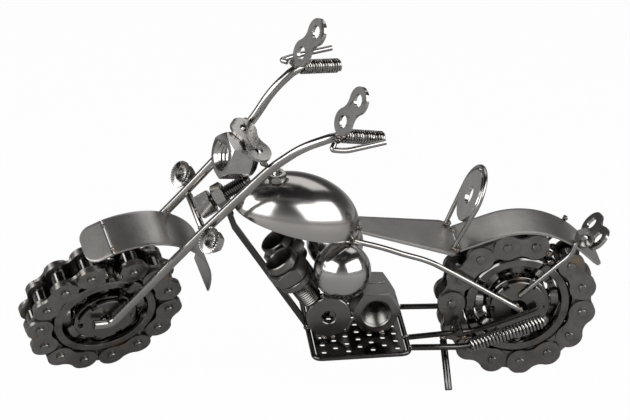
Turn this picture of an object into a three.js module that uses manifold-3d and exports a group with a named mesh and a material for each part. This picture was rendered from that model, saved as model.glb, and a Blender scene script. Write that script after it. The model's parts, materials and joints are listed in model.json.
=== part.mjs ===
// Scrap-metal motorcycle sculpture: roller-chain wheels on ball bearings, a rod fork, nuts, steel balls and
// spark-plug shells for the engine, and bent sheet for the tank, seat and fenders.
// Millimetres. The bike frame has its origin at the rear wheel's centre, +X to the rear, +Y to the bike's
// right and +Z up. The whole bike then leans on its kickstand, on ground at Z = 0.
import * as THREE from 'three';
import { mergeVertices } from 'three/addons/utils/BufferGeometryUtils.js';
import Module from 'manifold-3d';

const wasm = await Module();
wasm.setup();

const DEG = Math.PI / 180;
const SIDES = [['left', -1], ['right', 1]];

// ---- driving sizes ----
const weldGap = 0.3; // left between two pieces that are welded together

// roller chain of 12.7 mm pitch, wrapped on each wheel bearing and welded shut
const chain = {
  pitch: 12.7, rollerRadius: 3.96, innerWidth: 7.85, plate: 1.5, endRadius: 5.95, waist: 4.2,
  pinRadius: 1.98, pinLength: 16.6, plateGap: 0.1, seamAngle: 30 * DEG, raceGap: 0.15,
};
// deep-groove ball bearing, 20 x 47 x 14
const bearing = {
  bore: 20, outside: 47, width: 14, innerShoulder: 28, outerShoulder: 39, pitchCircle: 33.5,
  ballDiameter: 7.94, balls: 8, grooveClearance: 0.6, cageThickness: 0.9, cageWidth: 8.4,
};
const hubDisc = { radius: 12.5, thickness: 1.5, hole: 3.6, notches: 6, notchWidth: 3, notchDepth: 1.8 };

const wheelbase = 181;
const leanAngle = 15 * DEG; // on the kickstand, towards the left
const steerAngle = 25.6 * DEG; // the front wheel turned to the left, as it stands
const stemRake = 59 * DEG; // from the bike's vertical
const stemPoint = [-130.2, 59.1]; // x and z of a point on the steering axis

const forkRod = 2; // radii of the rods, rod by rod
const bridgeRod = 1.5;
const railRod = 1.25;
const exhaustRod = 1.4;
const loopRod = 1.1;
const stayRod = 1;
const leverRod = 1.2;
const standRod = 1.6;
const pegRod = 1.9;
const downTubeWidth = 2.5;
const nutChamferDepth = 0.6;

const wheelClearance = 1.6; // between a chain pin's end and the rod beside it
const fork = {
  rake: 37.6 * DEG, toe: 6.9, toeRise: 3, bendRise: 1.2, startAlong: 17, bridgeAlong: -12.6,
  kinkAlong: 44.4, kinkSpread: 1.3, gripRise: 21.3, gripSpread: 8.4, heel: 1.2,
  gripRun: { left: 25.3, right: 21.1 }, // the right bar is bent a little further forward
  bow: [-1.2, 3.1], // of a bar's upper run, forward and up
};
const grip = {
  radius: 3.15, bore: 2.5, length: 18.4, setback: 2, drop: 16.8 * DEG, splay: 4 * DEG, rodInside: 11,
};
const stemBolt = { thread: 3, flats: 10, head: 7, shank: 19 };
const headNut = { flats: 10, thickness: 5, along: 0.2, clearance: 0.35 };
const headlight = { flats: 18, height: 10.8, bore: 5.4, chamfer: 6.5, tilt: 18 * DEG, x: -131.6, z: 86.2 };
const headlightRing = { radius: 8.8, thickness: 2.6 };
const yoke = { x: -118.9, z: 92.4, tilt: 20 * DEG, yaw: -12 * DEG };
const signalNut = {
  flange: 5.85, flangeThickness: 1.3, flats: 8, height: 5.4, bore: 2.1, tilt: 37 * DEG,
  fromBridge: { left: [-0.9, 4.3], right: [-0.9, 1.8] }, // x and z of the flange's face
};
const linkHole = 2.8; // in an inner chain plate, where its bush sat
const mirror = { lean: 25.5 * DEG, lift: 15.4, back: 2.2 };
const lever = {
  rootBack: 3, hook: 5, hookOut: 6.1, hookDrop: 0.8, knee: 1, out: 7.6, drop: 1.5, length: 18.4, tipDrop: -0.5,
};

const sheet = 1; // fenders, seat and base plate
const frontFender = {
  centre: [11.5, 13.1], radius: 35, from: -11 * DEG, to: 107 * DEG, nose: 11.5, noseDroop: 22 * DEG,
  noseCorner: 6, sideGap: 0.3,
};
const rearFender = {
  clearance: 2.3, halfWidth: 10.9, from: 45 * DEG, to: 108 * DEG, tail: 13, lead: 16.6, tailCorner: 7,
};
const seat = { rearHalf: 14.9, frontHalf: 7, slope: 13 * DEG, rearRadius: 5 };
const tank = {
  x: -97.6, z: 46.6, tilt: 16.2 * DEG, halfLength: 28, halfWidth: 19.6, height: 19.8, taper: 0.06, wall: 0.8,
};
const capNut = { flats: 7, height: 3.2, bore: 2, along: -13.5, aside: -2.5 };
const backrest = {
  radius: 11.9, hole: 4, thickness: 2, lean: 24.8 * DEG, lift: 21, footSpread: 10.9, footInset: 2.2,
  footLift: 0.9,
};

const ball = { radius: 12.5, x: -78.8, lowest: 26 };
const plug = {
  flats: 16, mouthRadius: 7.2, mouthLength: 3.6, hexLength: 6.6, shoulderRadius: 7.7, shoulderLength: 4.6,
  threadRadius: 5, threadLength: 10, groove: 0.7, grooveDepth: 0.8, bore: 6.1, boreDepth: 15,
  rake: 34 * DEG, apart: 1.2, offset: 1.5,
};
const engineNut = { flats: 19, height: 10, bore: 6, chamfer: 7, lift: 1.2, inset: 0.4 };
const engineDisc = { radius: 9.75, hole: 3.1, thickness: 3, inset: 10.6, lift: 1.4 };
const base = { front: -91, rear: -52, halfWidth: 25, top: -8.9, corner: 2 };
const perforation = { hole: 1.5, pitch: 6.2, rim: 2.4 };

const downTube = { topX: -124.2, topZ: 44, footX: -92.7, footRise: 1.3 };
// x, y and z of points along an upper rail, from the tank down past the seat's edge
const upperRail = [
  [-74.3, 8, 38.2], [-61.7, 9, 34.5], [-52.1, 10.2, 31.2], [-41.8, 10.8, 27.5], [-32.2, 10.7, 21.7],
];
const lowerRail = { y: 13, kneeX: -19.4, reach: 8, rise: 3.4 };
const exhaust = {
  y: 20.5, kneeX: -25, kneeDrop: 2, rearX: 9.6, rearZ: -3.6, rearY: 15.6, sleeve: 3.2, bore: 2.1,
  setback: 1.4,
};
const peg = { x: -27.6, length: 9.5, inset: 1.6 };
const stand = { topX: -33.7, kneeOut: 11.2, kneeDrop: 8.8, footSlope: 42.5 * DEG, flat: 0.7 };
const tailStay = { footX: 0.2, footZ: 6.6, topX: 23.6, topRise: 2.6, kneeDrop: 5.6, y: 12.2 };
const tailNut = { flats: 7, length: 5, bore: 2.4, along: -2.8, y: -7 };
const tailPlate = { lift: 7.4 };

// ---- worked out from them ----
const pinCircle = bearing.outside / 2 + chain.raceGap + chain.endRadius;
const pinStep = 2 * Math.asin(chain.pitch / 2 / pinCircle);
const pinCount = 1 + Math.floor((2 * Math.PI - chain.seamAngle) / pinStep);
const wheelRadius = pinCircle + chain.endRadius;
const wheelHalf = chain.pinLength / 2;
const hubFace = bearing.width / 2 + weldGap + hubDisc.thickness; // outside of a hub disc
const legY = wheelHalf + wheelClearance + forkRod;
const railY = Math.max(hubFace + weldGap + railRod, wheelHalf + wheelClearance - 0.5 + railRod);
const stemAxis = new THREE.Vector3(Math.sin(stemRake), 0, Math.cos(stemRake));
const frontCentre = point(-wheelbase, 0, 0);
const nutX = base.rear - engineNut.flats / Math.sqrt(3) - engineNut.inset; // corner to corner along X
const discAt = {
  x: nutX - engineNut.flats / Math.sqrt(3) - engineDisc.radius - weldGap,
  z: base.top + weldGap + engineDisc.radius + engineDisc.lift,
};

// ---- helpers ----
function point(x, y, z) {
  return new THREE.Vector3(x, y, z);
}

function material(color, roughness, metalness = 0.9) {
  return new THREE.MeshStandardMaterial({ color, roughness, metalness });
}

const finish = {
  chain: material(0x5f5c5a, 0.48),
  race: material(0x8d8a87, 0.25),
  ball: material(0xb9b4ae, 0.12),
  rod: material(0xa39f9b, 0.3),
  brushed: material(0xb5b0aa, 0.34),
  dark: material(0x4c4a49, 0.42),
  nut: material(0xc3bfba, 0.24),
  engine: material(0x6e6b69, 0.4),
  spring: material(0x77736f, 0.3),
};

// a closed geometry as a solid that can be cut and joined, with its faces turned outward
function solid(geometry) {
  const bare = geometry.clone();
  bare.deleteAttribute('normal');
  bare.deleteAttribute('uv');
  const merged = mergeVertices(bare, 1e-4);
  const corners = merged.attributes.position.array;
  const faces = [];
  for (let i = 0; i < merged.index.count; i += 3) {
    const [a, b, c] = [0, 1, 2].map((k) => merged.index.getX(i + k));
    if (a !== b && b !== c && a !== c) {
      faces.push(a, b, c);
    }
  }
  let volume = 0;
  const at = (i) => new THREE.Vector3().fromArray(corners, 3 * i);
  for (let i = 0; i < faces.length; i += 3) {
    volume += at(faces[i]).dot(at(faces[i + 1]).cross(at(faces[i + 2])));
  }
  if (volume < 0) {
    for (let i = 0; i < faces.length; i += 3) {
      [faces[i], faces[i + 1]] = [faces[i + 1], faces[i]];
    }
  }
  return new wasm.Manifold(new wasm.Mesh({
    numProp: 3,
    vertProperties: Float32Array.from(corners),
    triVerts: Uint32Array.from(faces),
  }));
}

function join(...solids) {
  return solids.reduce((all, next) => all.add(next));
}

function place(shape, position, rotation) {
  const matrix = new THREE.Matrix4().makeRotationFromQuaternion(rotation).setPosition(position);
  return shape.transform(matrix.toArray());
}

function move(shape, x, y, z) {
  return shape.translate([x, y, z]);
}

function alongY(direction) {
  return new THREE.Quaternion().setFromUnitVectors(point(0, 1, 0), direction.clone().normalize());
}

// a turn with local X, Y and Z along the three given directions
function turnTo(x, y, z) {
  return new THREE.Quaternion().setFromRotationMatrix(new THREE.Matrix4().makeBasis(x, y, z));
}

// a straight round bar between two points; six sides make a hexagon bar
function bar(from, to, radius, sides = 12) {
  const length = from.distanceTo(to);
  const shape = solid(new THREE.CylinderGeometry(radius, radius, length, sides));
  return place(shape, from.clone().lerp(to, 0.5), alongY(to.clone().sub(from)));
}

// a solid of revolution about Y; a profile that doesn't reach the axis closes on itself
function turned(profile, segments) {
  const points = profile.map(([r, y]) => new THREE.Vector2(r, y));
  const onAxis = profile[0][0] === 0 && profile[profile.length - 1][0] === 0;
  if (!onAxis) {
    points.push(points[0].clone());
  }
  return solid(new THREE.LatheGeometry(points, segments));
}

function tube(outer, inner, length, segments) {
  const half = length / 2;
  return turned([[inner, -half], [outer, -half], [outer, half], [inner, half]], segments);
}

function cylinder(radius, length, sides = 16) {
  return solid(new THREE.CylinderGeometry(radius, radius, length, sides));
}

// a hexagon bar about Y with two of its flats facing X
function hexagon(flats, length) {
  const shape = new THREE.CylinderGeometry(flats / Math.sqrt(3), flats / Math.sqrt(3), length, 6);
  return solid(shape);
}

function polygon(radius, sides) {
  const corners = [];
  for (let i = 0; i < sides; i += 1) {
    const a = (2 * Math.PI * i) / sides;
    corners.push(new THREE.Vector2(radius * Math.cos(a), radius * Math.sin(a)));
  }
  return new THREE.Shape(corners);
}

// straight stretches between the points, with each inner corner rounded
function bentPath(points, bend) {
  const path = new THREE.CurvePath();
  let start = points[0];
  for (let i = 1; i < points.length - 1; i += 1) {
    const before = points[i - 1].clone().sub(points[i]);
    const after = points[i + 1].clone().sub(points[i]);
    const cut = Math.min(bend, 0.45 * before.length(), 0.45 * after.length());
    const enter = points[i].clone().add(before.setLength(cut));
    const leave = points[i].clone().add(after.setLength(cut));
    path.add(new THREE.LineCurve3(start, enter));
    path.add(new THREE.QuadraticBezierCurve3(enter, points[i].clone(), leave));
    start = leave;
  }
  path.add(new THREE.LineCurve3(start, points[points.length - 1]));
  return path;
}

function bentRod(points, radius, { bend = 4, sides = 8, steps = 24 } = {}) {
  const geometry = new THREE.ExtrudeGeometry(polygon(radius, sides), {
    extrudePath: bentPath(points, bend), steps, bevelEnabled: false,
  });
  return solid(geometry);
}

// an outline in X and Z, pushed out equally to both sides along Y
function slab(outline, width) {
  const shape = new THREE.Shape(outline.map(([x, z]) => new THREE.Vector2(x, z)));
  const geometry = new THREE.ExtrudeGeometry(shape, { depth: width, bevelEnabled: false, curveSegments: 6 });
  geometry.translate(0, 0, -width / 2);
  geometry.rotateX(Math.PI / 2);
  return solid(geometry);
}

// a strip of the given thickness about a line in X and Z
function stripOutline(line, thickness) {
  const half = thickness / 2;
  const normals = line.map((p, i) => {
    const a = line[Math.max(i - 1, 0)];
    const b = line[Math.min(i + 1, line.length - 1)];
    const length = Math.hypot(b[0] - a[0], b[1] - a[1]);
    return [-(b[1] - a[1]) / length, (b[0] - a[0]) / length];
  });
  const upper = line.map((p, i) => [p[0] + half * normals[i][0], p[1] + half * normals[i][1]]);
  const lower = line.map((p, i) => [p[0] - half * normals[i][0], p[1] - half * normals[i][1]]);
  return [...upper, ...lower.reverse()];
}

function arcLine(centre, radius, from, to, steps) {
  const line = [];
  for (let i = 0; i <= steps; i += 1) {
    const a = from + ((to - from) * i) / steps;
    line.push([centre[0] + radius * Math.cos(a), centre[1] + radius * Math.sin(a)]);
  }
  return line;
}

// a chain link plate in X and Z, centred between its two holes
function linkOutline(pitch, radius, waist, steps = 4) {
  const outline = [];
  const spread = 112 * DEG;
  for (let i = 0; i <= steps; i += 1) {
    const a = -spread + (2 * spread * i) / steps;
    outline.push([pitch / 2 + radius * Math.cos(a), radius * Math.sin(a)]);
  }
  outline.push([0, waist]);
  for (let i = 0; i <= steps; i += 1) {
    const a = Math.PI - spread + (2 * spread * i) / steps;
    outline.push([-pitch / 2 + radius * Math.cos(a), radius * Math.sin(a)]);
  }
  outline.push([0, -waist]);
  return outline;
}

function linkPlate(thickness, hole) {
  let plate = slab(linkOutline(chain.pitch, chain.endRadius, chain.waist, 8), thickness);
  for (const end of [-1, 1]) {
    plate = plate.subtract(move(cylinder(hole, 2 * thickness, 12), (end * chain.pitch) / 2, 0, 0));
  }
  return plate;
}

function nut(flats, height, bore, chamfer = bore) {
  const body = hexagon(flats, height);
  let hole = cylinder(bore, 2 * height, 16);
  if (chamfer > bore) {
    const recess = cylinder(chamfer, 2 * nutChamferDepth, 16);
    hole = join(hole, move(recess, 0, height / 2, 0), move(recess, 0, -height / 2, 0));
  }
  return body.subtract(hole);
}

const steering = new THREE.Group();
const bike = new THREE.Group();

function add(group, name, shape, look) {
  const { vertProperties, triVerts } = shape.getMesh();
  const geometry = new THREE.BufferGeometry();
  geometry.setAttribute('position', new THREE.BufferAttribute(vertProperties, 3));
  geometry.setIndex(new THREE.BufferAttribute(triVerts, 1));
  geometry.computeVertexNormals();
  const mesh = new THREE.Mesh(geometry, look);
  mesh.name = name;
  group.add(mesh);
  return mesh;
}

// ---- wheels ----
function pinAt(first, i) {
  const a = first + i * pinStep;
  return [pinCircle * Math.cos(a), pinCircle * Math.sin(a)];
}

function linkBetween(first, i, outline, width, y) {
  const [x0, z0] = pinAt(first, i);
  const [x1, z1] = pinAt(first, i + 1);
  const turn = new THREE.Quaternion().setFromAxisAngle(point(0, 1, 0), -Math.atan2(z1 - z0, x1 - x0));
  return place(slab(outline, width), point((x0 + x1) / 2, y, (z0 + z1) / 2), turn);
}

// the plates, rollers and pins of one wheel; an end link that is cut in half closes the ring where asked
function chainRing(first, startsOuter, cutEnds) {
  const innerY = (chain.innerWidth + chain.plate) / 2;
  const outerY = innerY + chain.plate + chain.plateGap;
  const outline = linkOutline(chain.pitch, chain.endRadius, chain.waist);
  const half = outline.filter(([x]) => x >= 0);
  const pieces = [];
  for (let i = 0; i < pinCount; i += 1) {
    const [x, z] = pinAt(first, i);
    pieces.push(move(cylinder(chain.pinRadius, chain.pinLength, 6), x, 0, z));
    pieces.push(move(cylinder(chain.rollerRadius, chain.innerWidth, 6), x, 0, z));
  }
  for (let i = 0; i < pinCount - 1; i += 1) {
    const y = (i % 2 === 0) === startsOuter ? outerY : innerY;
    for (const [, side] of SIDES) {
      pieces.push(linkBetween(first, i, outline, chain.plate, side * y));
    }
  }
  if (cutEnds) {
    const flipped = half.map(([x, z]) => [-x, z]).reverse();
    for (const [, side] of SIDES) {
      pieces.push(linkBetween(first, -1, half, chain.plate, side * outerY));
      pieces.push(linkBetween(first, pinCount - 1, flipped, chain.plate, side * outerY));
    }
  }
  return join(...pieces);
}

function innerRace() {
  const groove = bearing.ballDiameter / 2 + bearing.grooveClearance;
  const blank = tube(bearing.innerShoulder / 2, bearing.bore / 2, bearing.width, 20);
  return blank.subtract(grooveRing(groove));
}

function outerRace() {
  const groove = bearing.ballDiameter / 2 + bearing.grooveClearance;
  const blank = tube(bearing.outside / 2, bearing.outerShoulder / 2, bearing.width, 24);
  return blank.subtract(grooveRing(groove));
}

function grooveRing(radius) {
  const profile = [];
  for (let i = 0; i < 8; i += 1) {
    const a = (i / 8) * 2 * Math.PI;
    profile.push([bearing.pitchCircle / 2 + radius * Math.cos(a), radius * Math.sin(a)]);
  }
  return turned(profile, 24);
}

// the balls held by their ribbon cage
function ballCage() {
  const middle = bearing.pitchCircle / 2;
  const ring = tube(
    middle + bearing.cageThickness / 2, middle - bearing.cageThickness / 2, bearing.cageWidth, 16,
  );
  const balls = [];
  for (let i = 0; i < bearing.balls; i += 1) {
    const a = (2 * Math.PI * i) / bearing.balls;
    const sphere = solid(new THREE.SphereGeometry(bearing.ballDiameter / 2, 6, 5));
    balls.push(move(sphere, middle * Math.cos(a), 0, middle * Math.sin(a)));
  }
  return join(ring, ...balls);
}

function notchedDisc() {
  let disc = tube(hubDisc.radius, hubDisc.hole, hubDisc.thickness, 24);
  for (let i = 0; i < hubDisc.notches; i += 1) {
    const box = new THREE.BoxGeometry(2 * hubDisc.notchDepth, 2 * hubDisc.thickness, hubDisc.notchWidth);
    box.translate(hubDisc.radius, 0, 0);
    box.rotateY((2 * Math.PI * i) / hubDisc.notches);
    disc = disc.subtract(solid(box));
  }
  return disc;
}

function addWheel(group, end, firstPin, startsOuter, cutEnds) {
  const wheel = new THREE.Group();
  wheel.name = `${end}_wheel_centre`;
  if (end === 'front') {
    wheel.position.copy(frontCentre);
  }
  group.add(wheel);
  add(wheel, `${end}_inner_race`, innerRace(), finish.race);
  add(wheel, `${end}_ball_cage`, ballCage(), finish.ball);
  add(wheel, `${end}_outer_race`, outerRace(), finish.race);
  add(wheel, `${end}_chain`, chainRing(firstPin, startsOuter, cutEnds), finish.chain);
  for (const [name, side] of SIDES) {
    const y = side * (hubFace - hubDisc.thickness / 2);
    add(wheel, `${end}_hub_disc_${name}`, move(notchedDisc(), 0, y, 0), finish.engine);
  }
}

// ---- frame and engine ----
function addDownTube() {
  const drop = headNut.flats / 2 + weldGap;
  const head = stemAt(headNut.along).add(point(drop * stemAxis.z, 0, -drop * stemAxis.x));
  const line = [
    [head.x, head.z - downTubeWidth / 3],
    [downTube.topX, downTube.topZ],
    [downTube.footX, base.top + downTube.footRise],
  ];
  add(bike, 'down_tube', slab(stripOutline(line, downTubeWidth), downTubeWidth), finish.dark);
}

function addRails() {
  const level = base.top - sheet / 2;
  const rearEdge = base.rear + weldGap + 2 * loopRod + weldGap;
  for (const [name, side] of SIDES) {
    const upper = upperRail.map(([x, y, z]) => point(x, side * y, z));
    upper.push(point(0, side * railY, 0));
    const curve = new THREE.CatmullRomCurve3(upper, false, 'centripetal');
    const rail = solid(new THREE.ExtrudeGeometry(polygon(railRod, 8), {
      extrudePath: curve, steps: 20, bevelEnabled: false,
    }));
    add(bike, `upper_rail_${name}`, rail, finish.rod);

    const below = -2 * railRod - weldGap;
    const lower = [
      point(rearEdge, side * lowerRail.y, level),
      point(lowerRail.kneeX, side * railY, level),
      point(0, side * railY, below),
      point(lowerRail.reach, side * railY, below + lowerRail.rise),
    ];
    add(bike, `lower_rail_${name}`, bentRod(lower, railRod, { bend: 5, steps: 16 }), finish.rod);
  }
}

function baseHoles() {
  const holes = [];
  const across = perforation.pitch * Math.sin(60 * DEG);
  const columns = Math.floor((base.rear - base.front - 2 * perforation.rim) / across);
  const rows = Math.floor((2 * (base.halfWidth - perforation.rim)) / (perforation.pitch / 2));
  const startX = (base.front + base.rear - columns * across) / 2;
  const startY = (-rows * perforation.pitch) / 4;
  for (let c = 0; c <= columns; c += 1) {
    for (let r = c % 2; r <= rows; r += 2) {
      const hole = polygon(perforation.hole, 6).getPoints();
      const x = startX + c * across;
      const y = startY + (r * perforation.pitch) / 2;
      holes.push(new THREE.Path(hole.map((p) => new THREE.Vector2(p.x + x, p.y + y))));
    }
  }
  return holes;
}

function addBase() {
  const { front, rear, halfWidth, top, corner } = base;
  const plate = new THREE.Shape();
  plate.moveTo(front + corner, -halfWidth);
  plate.lineTo(rear - corner, -halfWidth);
  plate.lineTo(rear, corner - halfWidth);
  plate.lineTo(rear, halfWidth - corner);
  plate.lineTo(rear - corner, halfWidth);
  plate.lineTo(front + corner, halfWidth);
  plate.lineTo(front, halfWidth - corner);
  plate.lineTo(front, corner - halfWidth);
  plate.holes.push(...baseHoles());
  const sheetGeometry = new THREE.ExtrudeGeometry(plate, { depth: sheet, bevelEnabled: false });
  sheetGeometry.translate(0, 0, top - sheet);
  add(bike, 'base_plate', solid(sheetGeometry), finish.dark);

  const out = weldGap + loopRod;
  const z = top - sheet / 2;
  const middle = (front + rear) / 2;
  const route = [
    point(middle + 0.4, halfWidth + out, z), point(rear + out, halfWidth + out, z),
    point(rear + out, -halfWidth - out, z), point(front - out, -halfWidth - out, z),
    point(front - out, halfWidth + out, z), point(middle - 0.4, halfWidth + out, z),
  ];
  const seamHalf = 2;
  const seam = bar(
    point(middle - seamHalf, halfWidth + out, z), point(middle + seamHalf, halfWidth + out, z), loopRod, 8,
  );
  add(bike, 'base_loop', join(bentRod(route, loopRod, { bend: 4, sides: 6, steps: 32 }), seam), finish.rod);
}

function plugShell() {
  const { mouthRadius, mouthLength, groove, grooveDepth, hexLength, flats } = plug;
  const { shoulderRadius, shoulderLength, threadRadius, threadLength } = plug;
  const mouthEnd = mouthLength;
  const hexStart = mouthEnd + groove;
  const hexEnd = hexStart + hexLength;
  const shoulderStart = hexEnd + groove;
  const shoulderEnd = shoulderStart + shoulderLength;
  const waist = mouthRadius - grooveDepth;
  const round = turned([
    [0, 0], [mouthRadius, 0], [mouthRadius, mouthEnd], [waist, mouthEnd], [waist, shoulderStart],
    [shoulderRadius, shoulderStart], [shoulderRadius, shoulderEnd - 2], [threadRadius, shoulderEnd],
    [threadRadius, shoulderEnd + threadLength], [0, shoulderEnd + threadLength],
  ], 16);
  const hex = move(hexagon(flats, hexLength), 0, (hexStart + hexEnd) / 2, 0);
  const hole = move(cylinder(plug.bore, plug.boreDepth, 16), 0, plug.boreDepth / 2 - 0.5, 0);
  return join(round, hex).subtract(hole);
}

function addPlugs() {
  const down = point(Math.sin(plug.rake), 0, -Math.cos(plug.rake));
  const across = point(0, 1, 0);
  const turn = turnTo(across, down, across.clone().cross(down));
  const { mouthLength, groove, hexLength, shoulderLength, threadLength } = plug;
  const total = mouthLength + 2 * groove + hexLength + shoulderLength + threadLength;
  const aside = point(-down.z, 0, down.x);
  const y = (plug.flats + plug.apart) / 2;
  for (const [name, side] of SIDES) {
    const mouth = point(discAt.x, side * y, discAt.z).addScaledVector(aside, -plug.offset)
      .addScaledVector(down, -engineDisc.radius - weldGap - total);
    add(bike, `spark_plug_${name}`, place(plugShell(), mouth, turn), finish.engine);
  }
}

function addEngine() {
  const nutZ = base.top + engineNut.lift + engineNut.flats / 2;
  const nutShape = nut(engineNut.flats, engineNut.height, engineNut.bore, engineNut.chamfer);
  const flatDown = new THREE.Quaternion().setFromAxisAngle(point(0, 1, 0), 30 * DEG);
  const nutY = (engineNut.height + weldGap) / 2;
  const engineTop = Math.max(discAt.z + engineDisc.radius, nutZ + engineNut.flats / 2);
  const ballZ = Math.max(engineTop + 2 * weldGap + ball.radius, ball.lowest);
  for (const [name, side] of SIDES) {
    const hex = place(nutShape, point(nutX, side * nutY, nutZ), flatDown);
    add(bike, `engine_nut_${name}`, hex, finish.engine);
    const disc = tube(engineDisc.radius, engineDisc.hole, engineDisc.thickness, 24);
    const placed = move(disc, discAt.x, side * engineDisc.inset, discAt.z);
    add(bike, `engine_disc_${name}`, placed, finish.engine);
    const sphere = solid(new THREE.SphereGeometry(ball.radius, 16, 10));
    const ballY = side * (ball.radius + weldGap / 2);
    add(bike, `crank_ball_${name}`, move(sphere, ball.x, ballY, ballZ), finish.ball);
  }
}

// the domed tank, its rim lying in a plane that slopes down to the rear
function tankDome(shrink) {
  const shape = new THREE.SphereGeometry(1, 24, 12);
  const corners = shape.attributes.position;
  for (let i = 0; i < corners.count; i += 1) {
    const along = corners.getX(i);
    const swell = 1 + tank.taper * along;
    corners.setXYZ(
      i, (tank.halfLength - shrink) * along, (tank.halfWidth - shrink) * swell * corners.getY(i),
      (tank.height - shrink) * corners.getZ(i),
    );
  }
  return solid(shape);
}

function tankTurn() {
  return new THREE.Quaternion().setFromAxisAngle(point(0, 1, 0), tank.tilt);
}

function addTank() {
  const reach = 3 * tank.halfLength;
  const below = new THREE.BoxGeometry(reach, reach, reach);
  below.translate(0, 0, -reach / 2);
  const shell = tankDome(0).subtract(tankDome(tank.wall)).subtract(solid(below));
  const turn = tankTurn();
  const middle = point(tank.x, 0, tank.z);
  add(bike, 'tank_shell', place(shell, middle, turn), finish.brushed);

  const { along, aside, height } = capNut;
  const halfWidth = tank.halfWidth * (1 + (tank.taper * along) / tank.halfLength);
  const top = tank.height * Math.sqrt(1 - (along / tank.halfLength) ** 2 - (aside / halfWidth) ** 2);
  const outward = point(
    along / tank.halfLength ** 2, aside / halfWidth ** 2, top / tank.height ** 2,
  ).normalize();
  const capCentre = point(along, aside, top).addScaledVector(outward, weldGap + height / 2);
  capCentre.applyQuaternion(turn).add(middle);
  const cap = nut(capNut.flats, height, capNut.bore);
  add(bike, 'tank_cap_nut', place(cap, capCentre, alongY(outward.applyQuaternion(turn))), finish.nut);
}

// ---- seat and rear fender ----
function fenderRadius() {
  return wheelRadius + rearFender.clearance + sheet / 2;
}

function rearFenderLine() {
  const r = fenderRadius();
  const line = arcLine([0, 0], r, rearFender.from, rearFender.to, 12);
  const [sx, sz] = line[0];
  const [ex, ez] = line[line.length - 1];
  const a = rearFender.from;
  const b = rearFender.to;
  const tail = [sx + rearFender.tail * Math.sin(a), sz - rearFender.tail * Math.cos(a)];
  const lead = [ex - rearFender.lead * Math.sin(b), ez + rearFender.lead * Math.cos(b)];
  return [tail, ...line, lead];
}

function addRearFender() {
  const line = rearFenderLine();
  const strip = slab(stripOutline(line, sheet), 2 * rearFender.halfWidth);
  const [tailX, tailZ] = line[0];
  const across = point(Math.cos(rearFender.from), 0, Math.sin(rearFender.from));
  const back = point(Math.sin(rearFender.from), 0, -Math.cos(rearFender.from));
  const reach = 200;
  const keep = slab(roundEnd(rearFender.halfWidth, reach / 3, rearFender.tailCorner), 2 * rearFender.tail);
  const turn = turnTo(back, across, back.clone().cross(across));
  const cutter = place(keep, point(tailX, 0, tailZ), turn);
  const front = new THREE.BoxGeometry(reach, reach, reach);
  front.translate(line[1][0] - reach / 2, 0, line[1][1]);
  const shape = strip.intersect(join(cutter, solid(front)));
  add(bike, 'rear_fender', shape, finish.brushed);
}

// an outline that ends at X = 0 with rounded corners and runs back to X = -length
function roundEnd(half, length, radius) {
  const outline = [[-length, -half - 1], [-length, half + 1], [-radius, half + 1]];
  for (let i = 0; i <= 6; i += 1) {
    const a = 90 * DEG * (1 - i / 6);
    outline.push([-radius + radius * Math.cos(a), half + 0.01 - radius + radius * Math.sin(a)]);
  }
  for (let i = 0; i <= 6; i += 1) {
    const a = -90 * DEG * (i / 6);
    outline.push([-radius + radius * Math.cos(a), -half - 0.01 + radius + radius * Math.sin(a)]);
  }
  outline.push([-radius, -half - 1]);
  return outline;
}

function seatPlane() {
  const line = rearFenderLine();
  const [leadX, leadZ] = line[line.length - 1];
  const rear = point(leadX - weldGap, 0, leadZ + sheet / 2);
  const frontX = tank.x + tank.halfLength * Math.cos(tank.tilt) + 2 * weldGap;
  const length = (rear.x - frontX) / Math.cos(seat.slope);
  const forward = point(-Math.cos(seat.slope), 0, Math.sin(seat.slope));
  return { rear, length, forward };
}

function addSeat() {
  const { rear, length, forward } = seatPlane();
  const shape = new THREE.Shape();
  shape.moveTo(length, -seat.frontHalf);
  shape.lineTo(length, seat.frontHalf);
  shape.lineTo(seat.rearRadius, seat.rearHalf);
  shape.quadraticCurveTo(0, seat.rearHalf, 0, seat.rearHalf - seat.rearRadius);
  shape.lineTo(0, seat.rearRadius - seat.rearHalf);
  shape.quadraticCurveTo(0, -seat.rearHalf, seat.rearRadius, -seat.rearHalf);
  const geometry = new THREE.ExtrudeGeometry(shape, {
    depth: sheet, bevelEnabled: false, curveSegments: 5,
  });
  const right = point(0, -1, 0);
  const up = forward.clone().cross(right);
  geometry.translate(0, 0, -sheet);
  add(bike, 'seat_plate', place(solid(geometry), rear, turnTo(forward, right, up)), finish.brushed);
}

function addBackrest() {
  const { rear, forward } = seatPlane();
  const up = point(Math.sin(backrest.lean), 0, Math.cos(backrest.lean));
  const foot = rear.clone().addScaledVector(forward, backrest.footInset);
  foot.z += backrest.footLift + weldGap;
  const middle = foot.clone().addScaledVector(up, backrest.lift);
  const facing = point(up.z, 0, -up.x);
  const disc = tube(backrest.radius, backrest.hole, backrest.thickness, 28);
  add(bike, 'backrest_washer', place(disc, middle, alongY(facing)), finish.dark);

  const reach = backrest.radius + weldGap + stayRod;
  const route = [point(0, -backrest.footSpread, 0)];
  for (let i = 0; i <= 10; i += 1) {
    const a = Math.PI * (1 - i / 10);
    route.push(point(0, reach * Math.cos(a), backrest.lift + reach * Math.sin(a)));
  }
  route.push(point(0, backrest.footSpread, 0));
  const hoop = bentRod(route, stayRod, { bend: 2, sides: 6, steps: 28 });
  add(bike, 'backrest_hoop', place(hoop, foot, turnTo(facing, point(0, 1, 0), up)), finish.rod);
}

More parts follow.
